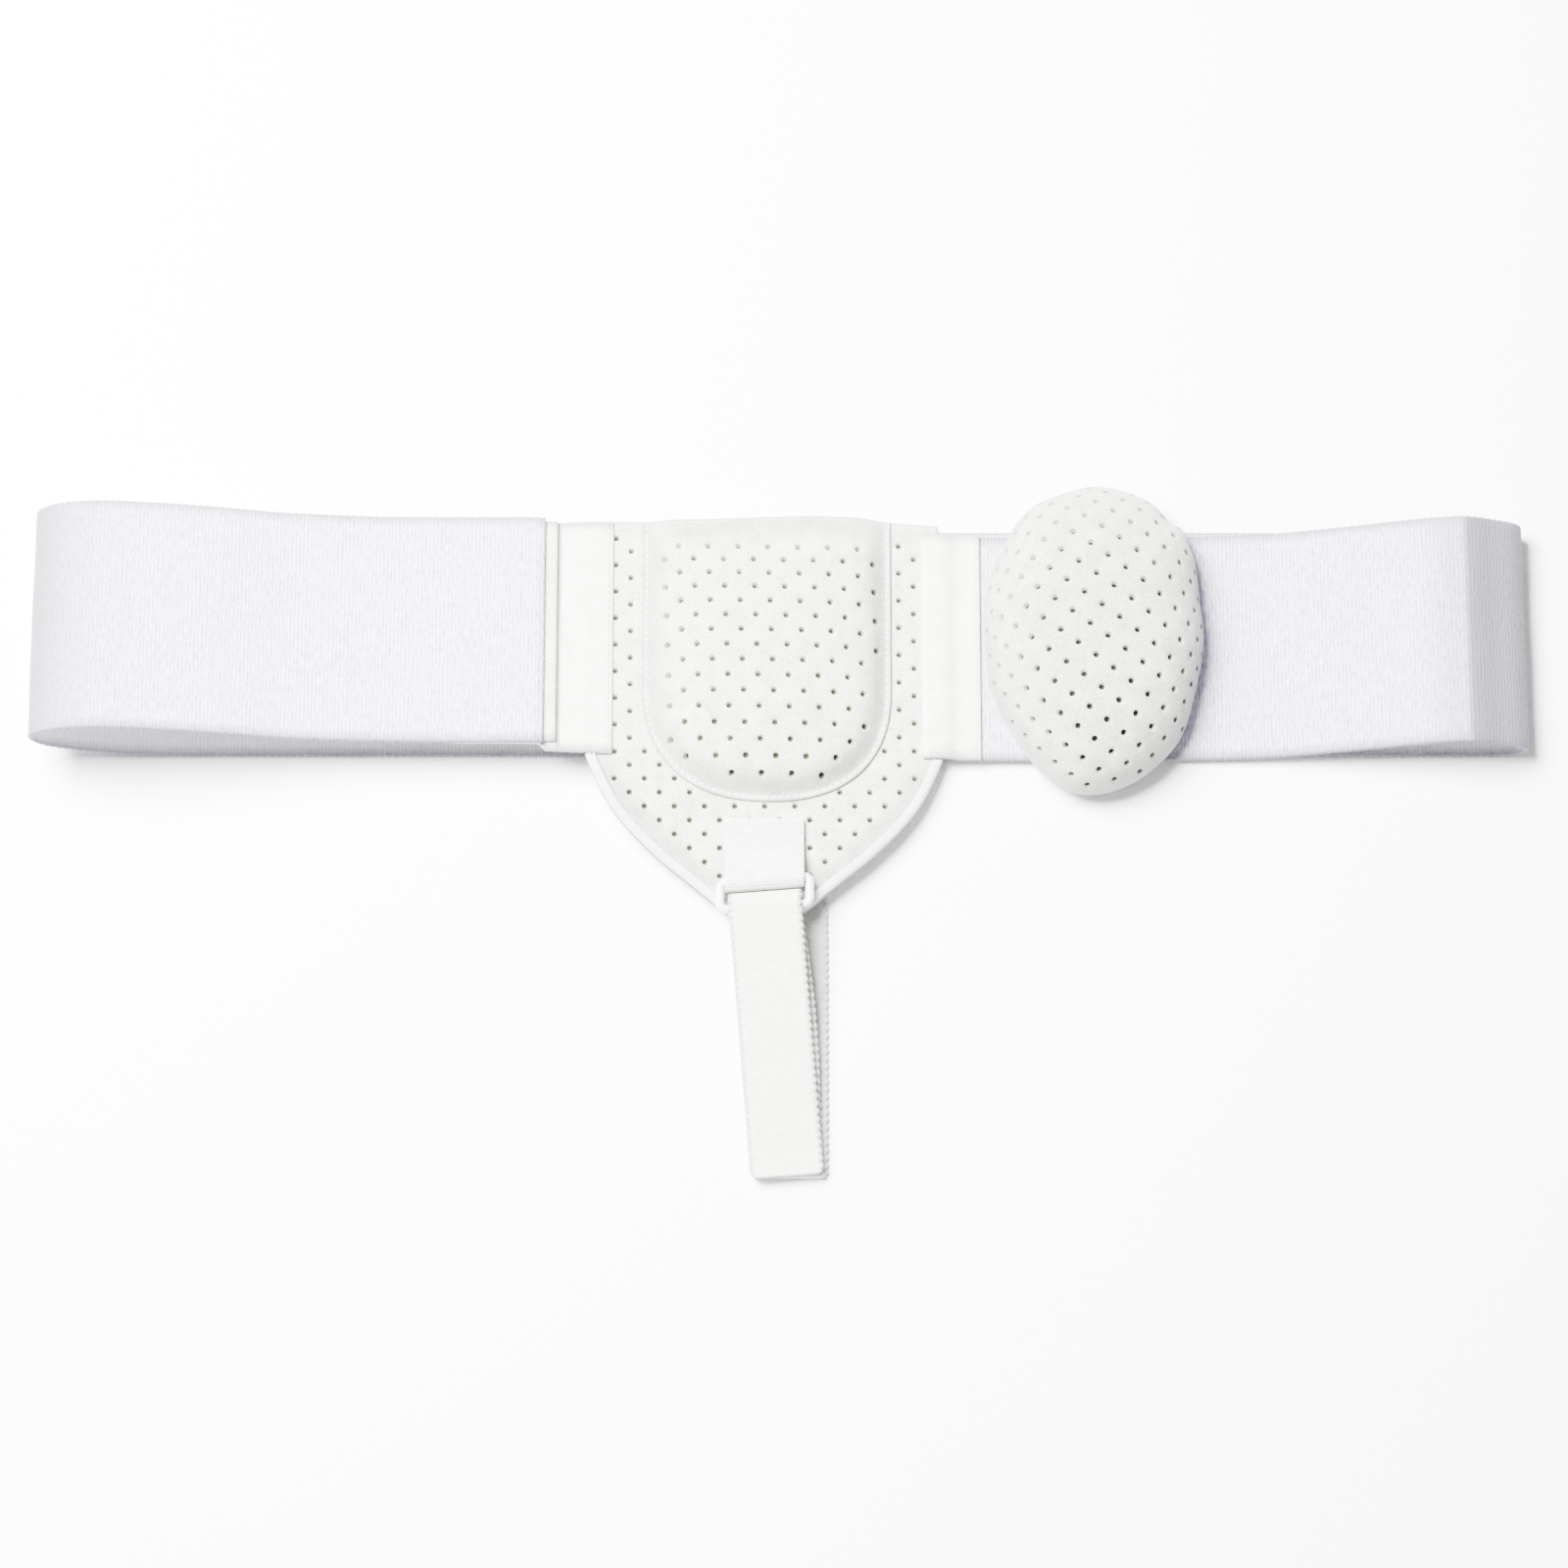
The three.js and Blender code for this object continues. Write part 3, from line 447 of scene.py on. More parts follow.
def linear(code):
    """A hex sRGB colour as linear RGBA."""
    rgb = [int(code[k : k + 2], 16) / 255 for k in (1, 3, 5)]
    return [c / 12.92 if c <= 0.04045 else ((c + 0.055) / 1.055) ** 2.4 for c in rgb] + [1]


def add(tree, kind, inputs=None, **settings):
    """A node with its settings, and its inputs set to values or joined to other nodes' outputs."""
    node = tree.nodes.new(kind)
    for key, value in settings.items():
        setattr(node, key, value)
    for socket, value in (inputs or {}).items():
        if isinstance(value, bpy.types.NodeSocket):
            tree.links.new(value, node.inputs[socket])
        else:
            node.inputs[socket].default_value = value
    return node


BAND = math.pi / 10  # a Wave Texture's scale for one band a unit


def material(name, color, roughness, sheen=0.0):
    made = bpy.data.materials.new(name)
    made.use_nodes = True
    shader = made.node_tree.nodes["Principled BSDF"]
    shader.inputs["Base Color"].default_value = linear(color)
    shader.inputs["Roughness"].default_value = roughness
    shader.inputs["Sheen Weight"].default_value = sheen
    shader.inputs["Sheen Roughness"].default_value = 0.6
    return made, made.node_tree, shader


def cloth_finish(tree, shader, relief, tinted, height, strength, shade, color):
    """Relief as a bump of a height in mm, a colour between shade and color by how high the cloth lies, partly
    the cloth's own tone and partly painted shade in its hollows, and painted shade in dark grey laid over it
    where the piece's own point attribute says so."""
    size = {"Strength": strength, "Distance": height * MM, "Height": relief}
    bump = add(tree, "ShaderNodeBump", size)
    tree.links.new(bump.outputs["Normal"], shader.inputs["Normal"])
    colors = {0: tinted, 6: linear(shade), 7: linear(color)}
    tint = add(tree, "ShaderNodeMix", colors, data_type="RGBA").outputs[2]
    # Painted shade: the point attribute mixes the cloth towards dark grey.
    painted_shade = add(tree, "ShaderNodeAttribute", attribute_name="painted_shade").outputs["Fac"]
    grey = add(tree, "ShaderNodeMix", {0: painted_shade, 6: tint, 7: linear("#5C5C64")}, data_type="RGBA")
    tree.links.new(grey.outputs[2], shader.inputs["Base Color"])


def woven(name, color, shade, along, across, height, grain=0.35):
    """Cloth with ribs a number of mm apart along it and threads across it, from its place on the flat cloth.
    shade is the colour between the ribs, darker partly as painted shade in the grooves; height is the ribs'
    depth in mm, grain the share of fine noise."""
    made, tree, shader = material(name, color, 0.9, sheen=0.15)
    flat = add(tree, "ShaderNodeAttribute", attribute_name="cloth").outputs["Vector"]
    rib = {"Vector": flat, "Scale": BAND / along, "Distortion": 0.35, "Detail": 1.0, "Detail Scale": 2.0}
    ribs = add(tree, "ShaderNodeTexWave", rib, wave_type="BANDS", bands_direction="X").outputs["Fac"]
    thread = {"Vector": flat, "Scale": BAND / across, "Distortion": 0.5, "Detail": 1.0, "Detail Scale": 3.0}
    threads = add(tree, "ShaderNodeTexWave", thread, wave_type="BANDS", bands_direction="Y").outputs["Fac"]
    drawn = add(tree, "ShaderNodeVectorMath", {0: flat, 1: (1.0, 0.3, 1.0)}, operation="MULTIPLY").outputs[0]
    uneven = {"Vector": drawn, "Scale": 1.1, "Detail": 3.0, "Roughness": 0.7}
    noise = add(tree, "ShaderNodeTexNoise", uneven).outputs["Fac"]
    body = add(tree, "ShaderNodeMath", {0: ribs, 1: threads}, operation="MULTIPLY").outputs[0]
    both = add(tree, "ShaderNodeMix", {0: 0.5, 2: ribs, 3: body}).outputs[0]
    spread = add(tree, "ShaderNodeMapRange", {"Value": noise, "From Min": 0.3, "From Max": 0.7}).outputs[0]
    relief = add(tree, "ShaderNodeMix", {0: grain, 2: both, 3: spread}).outputs[0]
    cloth_finish(tree, shader, relief, relief, height, 0.6, shade, color)
    return made


def napped(name, color, shade, size, height, roughness=0.95, sheen=0.35):
    """Brushed or knitted cloth: a fine uneven nap with a grain size in mm, from its place in space."""
    made, tree, shader = material(name, color, roughness, sheen=sheen)
    place = add(tree, "ShaderNodeTexCoord").outputs["Object"]
    nap = {"Vector": place, "Scale": 1000 / size, "Detail": 4.0, "Roughness": 0.65}
    fine = add(tree, "ShaderNodeTexNoise", nap).outputs["Fac"]
    cloud = {"Vector": place, "Scale": 1000 / (size * 9), "Detail": 2.0, "Roughness": 0.5}
    broad = add(tree, "ShaderNodeTexNoise", cloud).outputs["Fac"]
    relief = add(tree, "ShaderNodeMix", {0: 0.3, 2: fine, 3: broad}).outputs[0]
    spread = add(tree, "ShaderNodeMapRange", {"Value": relief, "From Min": 0.35, "From Max": 0.65}).outputs[0]
    cloth_finish(tree, shader, relief, spread, height, 0.55, shade, color)
    return made


# The web reads as cool white elastic with fine ribs across it, greyer between them: partly the weave's tone,
# partly painted shade in the grooves.
ELASTIC = woven("ribbed_elastic_web", "#E9E6F6", "#88849C", 1.3, 0.95, 0.6, grain=0.62)
# Inside the loop the web shows its smoother face, painted whiter and less lavender: painted light in the shade
# of the loop.
ELASTIC_INSIDE_PAINTED_LIGHT = woven("inner_face_of_the_web_painted_light", "#F1F0F4", "#BDBCC6", 1.3, 0.95, 0.4, grain=0.5)
# The hook strip is cream nylon, rough with tiny hooks.
HOOKS = napped("cream_hook_strip", "#DDDAC8", "#A8A592", 0.8, 0.5, roughness=0.6, sheen=0.1)
# The tabs are a white brushed loop fabric: no sheen spot, a soft nap.
LOOPS = napped("brushed_loop_fabric", "#EFEEE7", "#C1C0B8", 0.6, 0.4)
# The covers are a thin knit on foam, slightly warmer than the web, with a grain like fine leather.
COVER = napped("foam_backed_knit", "#D9D9D0", "#9D9D93", 0.75, 0.34)
# The egg pad's cover is the same knit in a greyer tone.
EGG_COVER = napped("knit_over_the_egg_pad", "#C8C8BF", "#8A8A7E", 0.75, 0.38)
# The sides of the holes show the cut foam, painted much darker than the cover: painted shade inside the holes.
FOAM_PAINTED_SHADE = napped("cut_foam_painted_shade", "#8E8E82", "#74746A", 0.4, 0.1, sheen=0.0)
# What is seen deep in the shield's holes: the olive-grey backing under the foam, painted dark as the shade of
# the holes' depth.
HOLE_FLOOR_SHADE = napped("backing_in_the_holes_painted_shade", "#6A6858", "#545246", 0.6, 0.1, sheen=0.0)
# The egg pad's holes go deeper, and their floors are painted nearly black: painted shade of their depth.
DEEP_HOLE_SHADE = napped("painted_shade_in_the_egg_pad_holes", "#34342F", "#282824", 0.6, 0.1, sheen=0.0)
# The tape is a white woven binding with fine threads across it.
TAPE = woven("woven_edge_tape", "#E6E6E5", "#B4B4B4", 0.7, 0.8, 0.2)
# Its outer edge is painted dark grey: painted shade along the tape's side, which draws the thin dark line round
# the lobe.
TAPE_EDGE_SHADE = woven("tape_outer_edge_painted_shade", "#6A6A70", "#4A4A50", 0.7, 0.8, 0.2)
# The keeper is white brushed webbing with a fine cross weave.
KEEPER = woven("keeper_webbing", "#EEEEEC", "#B4B4B2", 1.1, 1.0, 0.4, grain=0.6)
# The leg strap is soft white elastic with fine ribs across it.
STRAP = woven("leg_strap_elastic", "#E6E6E0", "#C0C0B8", 1.0, 0.9, 0.22, grain=0.7)
# Sewing thread: bright white polyester that catches small lights.
THREAD = material("polyester_thread", "#EFEFEF", 0.5, sheen=0.3)[0]


def moulded_plastic():
    """White moulded nylon: a soft gloss with a faint unevenness of the mould."""
    made, tree, shader = material("white_moulded_nylon", "#DDDDDA", 0.32)
    shader.inputs["Subsurface Weight"].default_value = 0.12
    shader.inputs["Subsurface Scale"].default_value = 0.001
    place = add(tree, "ShaderNodeTexCoord").outputs["Object"]
    noise = add(tree, "ShaderNodeTexNoise", {"Vector": place, "Scale": 420.0, "Detail": 2.0}).outputs["Fac"]
    bump = add(tree, "ShaderNodeBump", {"Strength": 0.25, "Distance": 0.05 * MM, "Height": noise})
    tree.links.new(bump.outputs["Normal"], shader.inputs["Normal"])
    gloss = add(tree, "ShaderNodeMapRange", {"Value": noise, "To Min": 0.26, "To Max": 0.4})
    tree.links.new(gloss.outputs[0], shader.inputs["Roughness"])
    return made


# The ring is white moulded nylon with a soft highlight along each bar.
PLASTIC = moulded_plastic()


# The web's middle line in its turns: share of the way out to the loop's end, share of the turn's rise.
LEFT_TURN = [
    (0.35, 0.535), (0.51, 0.64), (0.655, 0.825), (0.77, 0.955), (0.866, 1.0), (0.945, 0.93),
    (0.99, 0.76), (1.0, 0.61), (0.982, 0.42), (0.94, 0.285), (0.882, 0.165), (0.815, 0.085),
]
RIGHT_TURN = [
    (0.952, 0.105), (0.99, 0.25), (1.0, 0.44), (0.972, 0.61), (0.905, 0.8), (0.83, 0.965),
    (0.8, 1.0), (0.765, 0.99), (0.68, 0.925), (0.495, 0.665), (0.31, 0.43), (0.14, 0.24),
]


def right_shift(x):
    """How far up the body the web lies on the right: it levels off between the egg pad and the turn."""
    return RIGHT_SHIFT * (1 - smoothstep(x, EGG_X, LOOP_RIGHT - WEB_THICK))


def web_course(step):
    """The web's middle line, from its loose end round the left turn, the back and the right turn."""
    left = [(-WEB_END, 0, LOOSE_END_LEVEL), (-LEFT_TAB_OUT, 0, LOOSE_END_LEVEL)]
    left += [(-lerp(WEB_END, LOOP_LEFT, out), 0, rise * LEFT_RISE) for out, rise in LEFT_TURN]
    left += [(-FLAT_LEFT, 0, WEB_THICK / 2)]
    right = [(FLAT_RIGHT, 0, WEB_THICK / 2)]
    for out, rise in RIGHT_TURN:
        x = lerp(LIFT_OFF, LOOP_RIGHT, out)
        right.append((x, right_shift(x), rise * RIGHT_RISE))
    for x in (LIFT_OFF, EGG_X, SHIELD_RIGHT + WEB_BUTT):
        right.append((x, right_shift(x), FRONT_ON_BACK))
    return evenly(np.vstack([spline(left, 0.3), spline(right, 0.3)]), step)


WEB_COLUMNS = 26
BEAD_PITCH = 2.5  # spacing of the small beads in which the ribs end at the selvedge
LOOSE_TAPER = 2.4  # length over which the loose end is pressed flat


def waist_web():
    path = web_course(0.8)
    s = length_along(path)
    section = stations(path, WEB_WIDTH, WEB_THICK, WEB_COLUMNS)
    bead = 0.14 * (np.cos(2 * np.pi * s / BEAD_PITCH)[:, None] - 1)
    section[..., 0] += np.sign(section[..., 0]) * near_edge(section, WEB_WIDTH, 1.2) * bead
    across, up = ribbon_frames(path, (0, 1, 0))
    front = smoothstep(path[:, 2], 2.2, 3.4)[:, None]
    section[..., 1] += 0.22 * waves(s[:, None], section[..., 0], 38, 3) * front
    pressed = 1 - smoothstep(s, 0, LOOSE_TAPER)[:, None]
    section[..., 1] = section[..., 1] * (1 - 0.55 * pressed) + 0.45 * pressed
    points, groups = sweep(section, path, across, up)
    # The inner face takes the whiter inside material: painted light where the loops lie in shade.
    around = groups[0][0]
    station = around[:, 0] % section.shape[1] - WEB_COLUMNS - EDGE_STEPS
    inner = (station >= 0) & (station < WEB_COLUMNS - 1)
    groups = [(around[~inner], 0), (around[inner], 1), *groups[1:]]
    # Painted shade: the web's outer face is darkened in the left turn, at the crease and past it on the right,
    # and along its selvedges.
    x = path[:, 0]
    bent = 0.96 * np.exp(-((np.maximum(x + LOOP_LEFT, 0) / 19) ** 1.3))
    bent += 0.88 * smoothstep(x, CREASE + 2, CREASE + 6) + 0.08 * smoothstep(x, CREASE + 15, LOOP_RIGHT)
    bent += 0.4 * near(x, CREASE, 9)
    outer = 1 - smoothstep(section[..., 1], -0.5, 0.5)
    selvedge = 0.85 * near_edge(section, WEB_WIDTH, 1.5, 0.8)
    painted_shade = np.clip(np.maximum(bent[:, None] * outer, selvedge), 0, 0.96)
    web = make("elastic_waist_web", points, groups, [ELASTIC, ELASTIC_INSIDE_PAINTED_LIGHT], cloth_of(path, section), painted_shade)
    mount(web, "elastic_web", "waist_belt")


waist_web()


SPINDLE = 6  # sides of a stitch


def stitches(name, path, slot, pitch, length, width=0.42):
    """Short threads end to end along a path: each is a bent spindle that dips at its ends."""
    path = evenly(np.asarray(path, float), 0.25)
    s = length_along(path)
    count = max(1, int(s[-1] / pitch))
    # Along one stitch: where, how thick and how high.
    t = np.array([-0.5, -0.36, 0, 0.36, 0.5])
    reach = np.array([0.35, 0.85, 1.0, 0.85, 0.35]) * width / 2
    dip = np.array([-0.21, -0.07, 0.01, -0.07, -0.21])
    at = ((np.arange(count) + 0.5) * s[-1] / count)[:, None] + t * length
    centre = np.stack([np.interp(at, s, path[:, k]) for k in range(3)], axis=-1)
    along = unit(centre[:, -1:] - centre[:, :1])
    side = unit(np.cross(along, [0, 0, 1.0]))[:, :, None]
    up = np.cross(side[:, :, 0], along)[:, :, None]
    turn = np.arange(SPINDLE) * 2 * np.pi / SPINDLE
    out = (np.cos(turn) * reach[:, None])[None, :, :, None]
    rise = (np.sin(turn) * reach[:, None] + dip[:, None])[None, :, :, None]
    points = (centre[:, :, None] + side * out + up * rise).reshape(-1, 3)
    first = np.arange(count) * len(t) * SPINDLE
    b = first[:, None, None] + np.arange(len(t) - 1)[None, :, None] * SPINDLE
    k = np.arange(SPINDLE)[None, None]
    beside = (k + 1) % SPINDLE
    quads = np.stack([b + k, b + beside, b + SPINDLE + beside, b + SPINDLE + k], axis=-1)
    last = first + (len(t) - 1) * SPINDLE
    caps = np.vstack([first[:, None] + np.arange(SPINDLE)[::-1], last[:, None] + np.arange(SPINDLE)])
    piece = make(name, points, [(quads.reshape(-1, 4), 0), (caps, 0)], [THREAD])
    return mount(piece, slot)


def shield_base(x, y):
    """Height of the shield's underside: a ramp from left to right, and down the lobe to the tip's height."""
    along = (x - SHIELD_MIDDLE + SHIELD_HALF) / (2 * SHIELD_HALF)
    ramp = lerp(SHIELD_LEFT_BASE, SHIELD_RIGHT_BASE, along)
    return lerp(ramp, TIP_BASE, smoothstep(SHIELD_SHOULDER - y, 0, LOBE_DROP))


def shield_top(x, y):
    return shield_base(x, y) + SHIELD_THICK


# The lobe's outline: share of the way down from the shoulder to the tip, share of the shield's half width.
LOBE = [
    (0.0, 1.0), (0.1, 0.963), (0.285, 0.878), (0.445, 0.768), (0.64, 0.588), (0.785, 0.425),
    (0.9, 0.298), (0.965, 0.225), (1.0, 0.12),
]
LOBE_STEP = 0.8
TOP_SWELL = 2.4  # how far the padded pocket pushes up the shield's upper edge
SEAM_STEP = 0.9


def lobe_side():
    """Right half of the lobe's outline about the shield's middle, from the shoulder to the tip."""
    at = [(half * SHIELD_HALF, SHIELD_SHOULDER - down * LOBE_DROP) for down, half in LOBE]
    return spline(at, LOBE_STEP)


def lobe_rim():
    right = lobe_side()
    rim = np.vstack([right, right[::-1] * [-1, 1]])
    rim[:, 0] += SHIELD_MIDDLE
    return evenly(rim, LOBE_STEP)


def top_edge(x):
    """Height up the body of the shield's upper edge."""
    return SHIELD_TOP + TOP_SWELL * near(x, 16, 34)


def pocket_seam(by=0.0):
    """The pocket's seam, from its upper right corner round the bottom to its upper left, moved inwards."""
    turn = np.linspace(0, np.pi, 120)
    power = 2 / POCKET_SQUARE
    across = np.sign(np.cos(turn)) * np.abs(np.cos(turn)) ** power
    bottom = np.stack([across * POCKET_HALF, POCKET_WAIST - np.sin(turn) ** power * POCKET_DROP], axis=1)
    seam = np.vstack([[[POCKET_HALF, SHIELD_TOP]], bottom, [[-POCKET_HALF, SHIELD_TOP]]])
    seam[:, 0] += POCKET_MIDDLE
    seam[[0, -1], 1] = top_edge(seam[[0, -1], 0]) - GAP
    seam = evenly(seam, SEAM_STEP)
    along = unit(np.gradient(seam, axis=0))
    return seam + np.stack([along[:, 1], -along[:, 0]], axis=1) * by


def pocket_outline():
    seam = pocket_seam()
    x = np.linspace(seam[-1, 0], seam[0, 0], 96)[1:-1]
    return np.vstack([seam, np.stack([x, top_edge(x) - GAP], axis=1)])


POCKET = pocket_outline()
FAR_UP = 140
# The pocket's seam carried straight up, so that distances from it take no notice of the upper edge.
POCKET_SIDES = np.vstack([
    [[POCKET_MIDDLE + POCKET_HALF, FAR_UP]],
    pocket_seam(),
    [[POCKET_MIDDLE - POCKET_HALF, FAR_UP]],
])


def shield_outline():
    """The shield's edge inside its tape: the lobe, then the sides and the upper edge."""
    inset_by = TAPE_THICK + GAP
    right = lobe_side()
    across = unit(np.gradient(right, axis=0))
    right = right + np.stack([across[:, 1], -across[:, 0]], axis=1) * inset_by
    right[-1, 0] = max(right[-1, 0], 0.5)
    side = SHIELD_HALF - inset_by
    top = np.linspace(-side, side, 90)[:, None] * [1, 0]
    outline = np.vstack([right, right[::-1] * [-1, 1], top])
    outline[:, 0] += SHIELD_MIDDLE
    outline[-len(top) :, 1] = top_edge(outline[-len(top) :, 0])
    return evenly(np.vstack([outline, outline[:1]]), SEAM_STEP)[:-1]


# The shield's perforation: the place of one hole, and half the squares' size along and up the body. To the
# right its rows climb and spread a little.
PANEL_HOLE = (-50.8, -36.6)
PANEL_STEP = (5.08, 4.72)
PANEL_CLIMB = 0.02
PANEL_SPREAD = 0.0015


def shield_holes(outline):
    """Holes on the corners and middles of squares, clear of the edge, the pocket, the tabs and the keeper."""
    i, j = np.meshgrid(np.arange(-3, 28), np.arange(-20, 14))
    even = (i + j) % 2 == 0
    right = PANEL_STEP[0] * i[even]
    y = PANEL_HOLE[1] + PANEL_CLIMB * right - (PANEL_STEP[1] + PANEL_SPREAD * right) * j[even]
    holes = np.stack([PANEL_HOLE[0] + right, y], axis=1)
    holes = holes[inside(holes, outline)]
    holes = holes[edge_distance(holes, outline) > 3.4]
    holes = holes[~inside(holes, POCKET) & (edge_distance(holes, POCKET) > 1.3)]
    x, y = holes.T
    beside = (x < SHIELD_LEFT + LEFT_TAB_LAP - 1) | (x > SHIELD_RIGHT - RIGHT_TAB_LAP + 1)
    under_tabs = beside & (y > SHIELD_SHOULDER + 1)
    under_keeper = (np.abs(x - RING_X) < KEEPER_WIDTH / 2 - 1) & (y < UPPER_BAR + KEEPER_LENGTH - 2.4)
    return holes[~under_tabs & ~under_keeper]


def shield_panel():
    outline = shield_outline()

    def lift(p):
        x, y = p[:, 0], p[:, 1]
        z = shield_top(x, y) - 0.5 * (1 - smoothstep(edge_distance(p, outline), 0, 1.4))
        return np.stack([x, y, z + 0.12 * waves(x, y, 24, 11)], axis=1)

    def base(p):
        return np.column_stack([p, shield_base(p[:, 0], p[:, 1])])

    holes = shield_holes(outline)
    points, groups, cloth, edge = punched(
        outline, holes, radius=1.0, lift=lift, base=base, spacing=1.3, rows=(0.7, 1.5)
    )
    # Painted shade: a dark line at the cut edge, and a soft darker band along the lobe's tape.
    painted_shade = 0.42 * (1 - smoothstep(edge, 4.5, 9.5)) * (1 - smoothstep(points[:, 1], -52, -40))
    painted_shade = np.maximum(painted_shade, 0.9 * (1 - smoothstep(edge, 0.1, 0.9)))
    panel = make("perforated_shield", points, groups, [COVER, FOAM_PAINTED_SHADE, HOLE_FLOOR_SHADE], cloth, painted_shade)
    mount(panel, "perforated_cover", "front_panel")


shield_panel()

FOLD_ROUND = 1.5  # radius of the tape's two outer corners
FLAP_POINTS = 4


def tape_section():
    """The folded tape, seen along the edge: out of the shield, and up from its underside."""
    high = SHIELD_THICK + GAP + TAPE_THICK
    low = -GAP - TAPE_THICK
    bend = np.linspace(0, np.pi / 2, 6)
    r = FOLD_ROUND
    upper = np.stack([-r + r * np.sin(bend[::-1]), high - r + r * np.cos(bend[::-1])], axis=1)
    lower = np.stack([-r + r * np.cos(bend), low + r - r * np.sin(bend)], axis=1)
    flap = np.linspace(-TAPE_REACH + 0.3, -r - 0.2, FLAP_POINTS)
    return np.vstack([
        upper,
        np.stack([flap[::-1], np.full(FLAP_POINTS, high)], axis=1),
        [[-TAPE_REACH, high - TAPE_THICK / 2], [-TAPE_REACH + 0.2, high - TAPE_THICK]],
        [[-TAPE_THICK - 0.6, high - TAPE_THICK], [-TAPE_THICK, high - TAPE_THICK - 0.6]],
        [[-TAPE_THICK, low + TAPE_THICK + 0.6], [-TAPE_THICK - 0.6, low + TAPE_THICK]],
        [[-TAPE_REACH + 0.2, low + TAPE_THICK], [-TAPE_REACH, low + TAPE_THICK / 2]],
        np.stack([flap, np.full(FLAP_POINTS, low)], axis=1),
        lower[::-1],
    ])


def tape_round_lobe():
    rim = lobe_rim()
    along = unit(np.gradient(rim, axis=0))
    along[0], along[-1] = (0, -1), (0, 1)
    at = np.column_stack([rim, shield_base(rim[:, 0], rim[:, 1])])
    across = np.column_stack([-along[:, 1], along[:, 0], np.zeros(len(rim))])
    section = tape_section()
    points, groups = sweep(section, at, across, np.broadcast_to([0, 0, 1.0], at.shape))
    around = groups[0][0]
    # The outer edge faces take the dark grey material: painted shade along the tape's side.
    corner = around[:, 0] % len(section)
    outer = (corner == 0) | (corner == len(section) - 1)
    groups = [(around[~outer], 0), (around[outer], 1), *groups[1:]]
    tape = make("edge_tape_round_lobe", points, groups, [TAPE, TAPE_EDGE_SHADE], cloth_of(at, section))
    mount(tape, "edge_tape", "panel_binding")
    row = at + across * (-TAPE_REACH + 0.9) + [0, 0, SHIELD_THICK + GAP + TAPE_THICK + 0.05]
    stitches("tape_stitches", row[3:-3], "edge_tape", pitch=2.5, length=1.8, width=0.35)


tape_round_lobe()

GRID_STEP = 2.2
CLOTH_STEPS = 20  # frames of the cloth simulation


def blown_up(name, cut, form, sewn, pressure, cap):
    """How far a cover moves under simulated pressure from the foam under it, on a square grid over its flat
    cut. form gives the grid's first shape, sewn is how far in from the edge it is held, and no point moves
    further than cap. Gives the grid's first corner and its moves."""
    low, high = cut.min(0) - 2 * GRID_STEP, cut.max(0) + 3 * GRID_STEP
    x, y = (np.arange(low[k], high[k], GRID_STEP) for k in (0, 1))
    x, y = np.meshgrid(x, y, indexing="ij")
    shape = (*x.shape, 3)
    flat = np.stack([x.ravel(), y.ravel()], axis=1)
    solid = inside(flat, cut)
    free = solid & (edge_distance(flat, cut) >= sewn)
    start = form(flat)
    rows, columns = x.shape
    corner = (np.arange(rows - 1)[:, None] * columns + np.arange(columns - 1)).ravel()
    quads = np.stack([corner, corner + columns, corner + columns + 1, corner + 1], axis=-1)
    quads = quads[solid[quads].all(axis=1)]
    mesh = bpy.data.meshes.new(name)
    mesh.from_pydata((start * MM).tolist(), [], quads.tolist())
    sheet = bpy.data.objects.new(name, mesh)
    bpy.context.scene.collection.objects.link(sheet)
    held = sheet.vertex_groups.new(name="sewn")
    held.add(np.flatnonzero(~free).tolist(), 1.0, "REPLACE")
    cloth = sheet.modifiers.new("cloth", "CLOTH")
    cloth.collision_settings.use_collision = False
    knit = cloth.settings
    knit.quality = 8
    knit.mass = 0.1
    knit.tension_stiffness = knit.compression_stiffness = 8
    knit.shear_stiffness = 4
    knit.bending_stiffness = 0.3
    knit.use_pressure = True
    knit.uniform_pressure_force = pressure
    knit.vertex_group_mass = held.name
    knit.effector_weights.gravity = 0
    for step in range(1, CLOTH_STEPS + 1):
        bpy.context.scene.frame_set(step)
    settled = sheet.evaluated_get(bpy.context.evaluated_depsgraph_get()).data
    at = np.empty(start.size, np.float32)
    settled.vertices.foreach_get("co", at)
    bpy.data.objects.remove(sheet)
    bpy.data.meshes.remove(mesh)
    bpy.context.scene.frame_set(1)
    move = at.reshape(-1, 3) / MM - start
    far = np.linalg.norm(move, axis=1, keepdims=True)
    print("blown_up", name, "largest move", round(float(far.max()), 2), "mm")
    return low, (move * np.minimum(1, cap / np.maximum(far, 1e-9))).reshape(shape)


def eased(push, p):
    """A grid's moves at points p, by a cubic B-spline, which leaves no facets."""
    low, values = push
    u = np.clip((p - low) / GRID_STEP, 1, np.array(values.shape[:2]) - 3)
    i = u.astype(int)
    f = (u - i)[..., None]
    weights = [(1 - f) ** 3 / 6, (3 * f**3 - 6 * f**2 + 4) / 6, (1 + 3 * f + 3 * f**2 - 3 * f**3) / 6, f**3 / 6]
    return sum(
        values[i[:, 0] + a - 1, i[:, 1] + b - 1] * weights[a][:, 0] * weights[b][:, 1]
        for a in range(4)
        for b in range(4)
    )


# Rise of the cover from the seam inwards: distance in mm, share of the crown. The stitches lie in a groove.
POCKET_RISE = [
    (0, 0.04), (0.7, 0.09), (1.5, 0.04), (2.3, 0.09), (3.2, 0.15), (4.6, 0.33), (6.4, 0.55), (9, 0.76),
    (13, 0.9), (20, 0.98), (30, 1.0),
]
POCKET_PATH = spline(POCKET_RISE, 0.2)


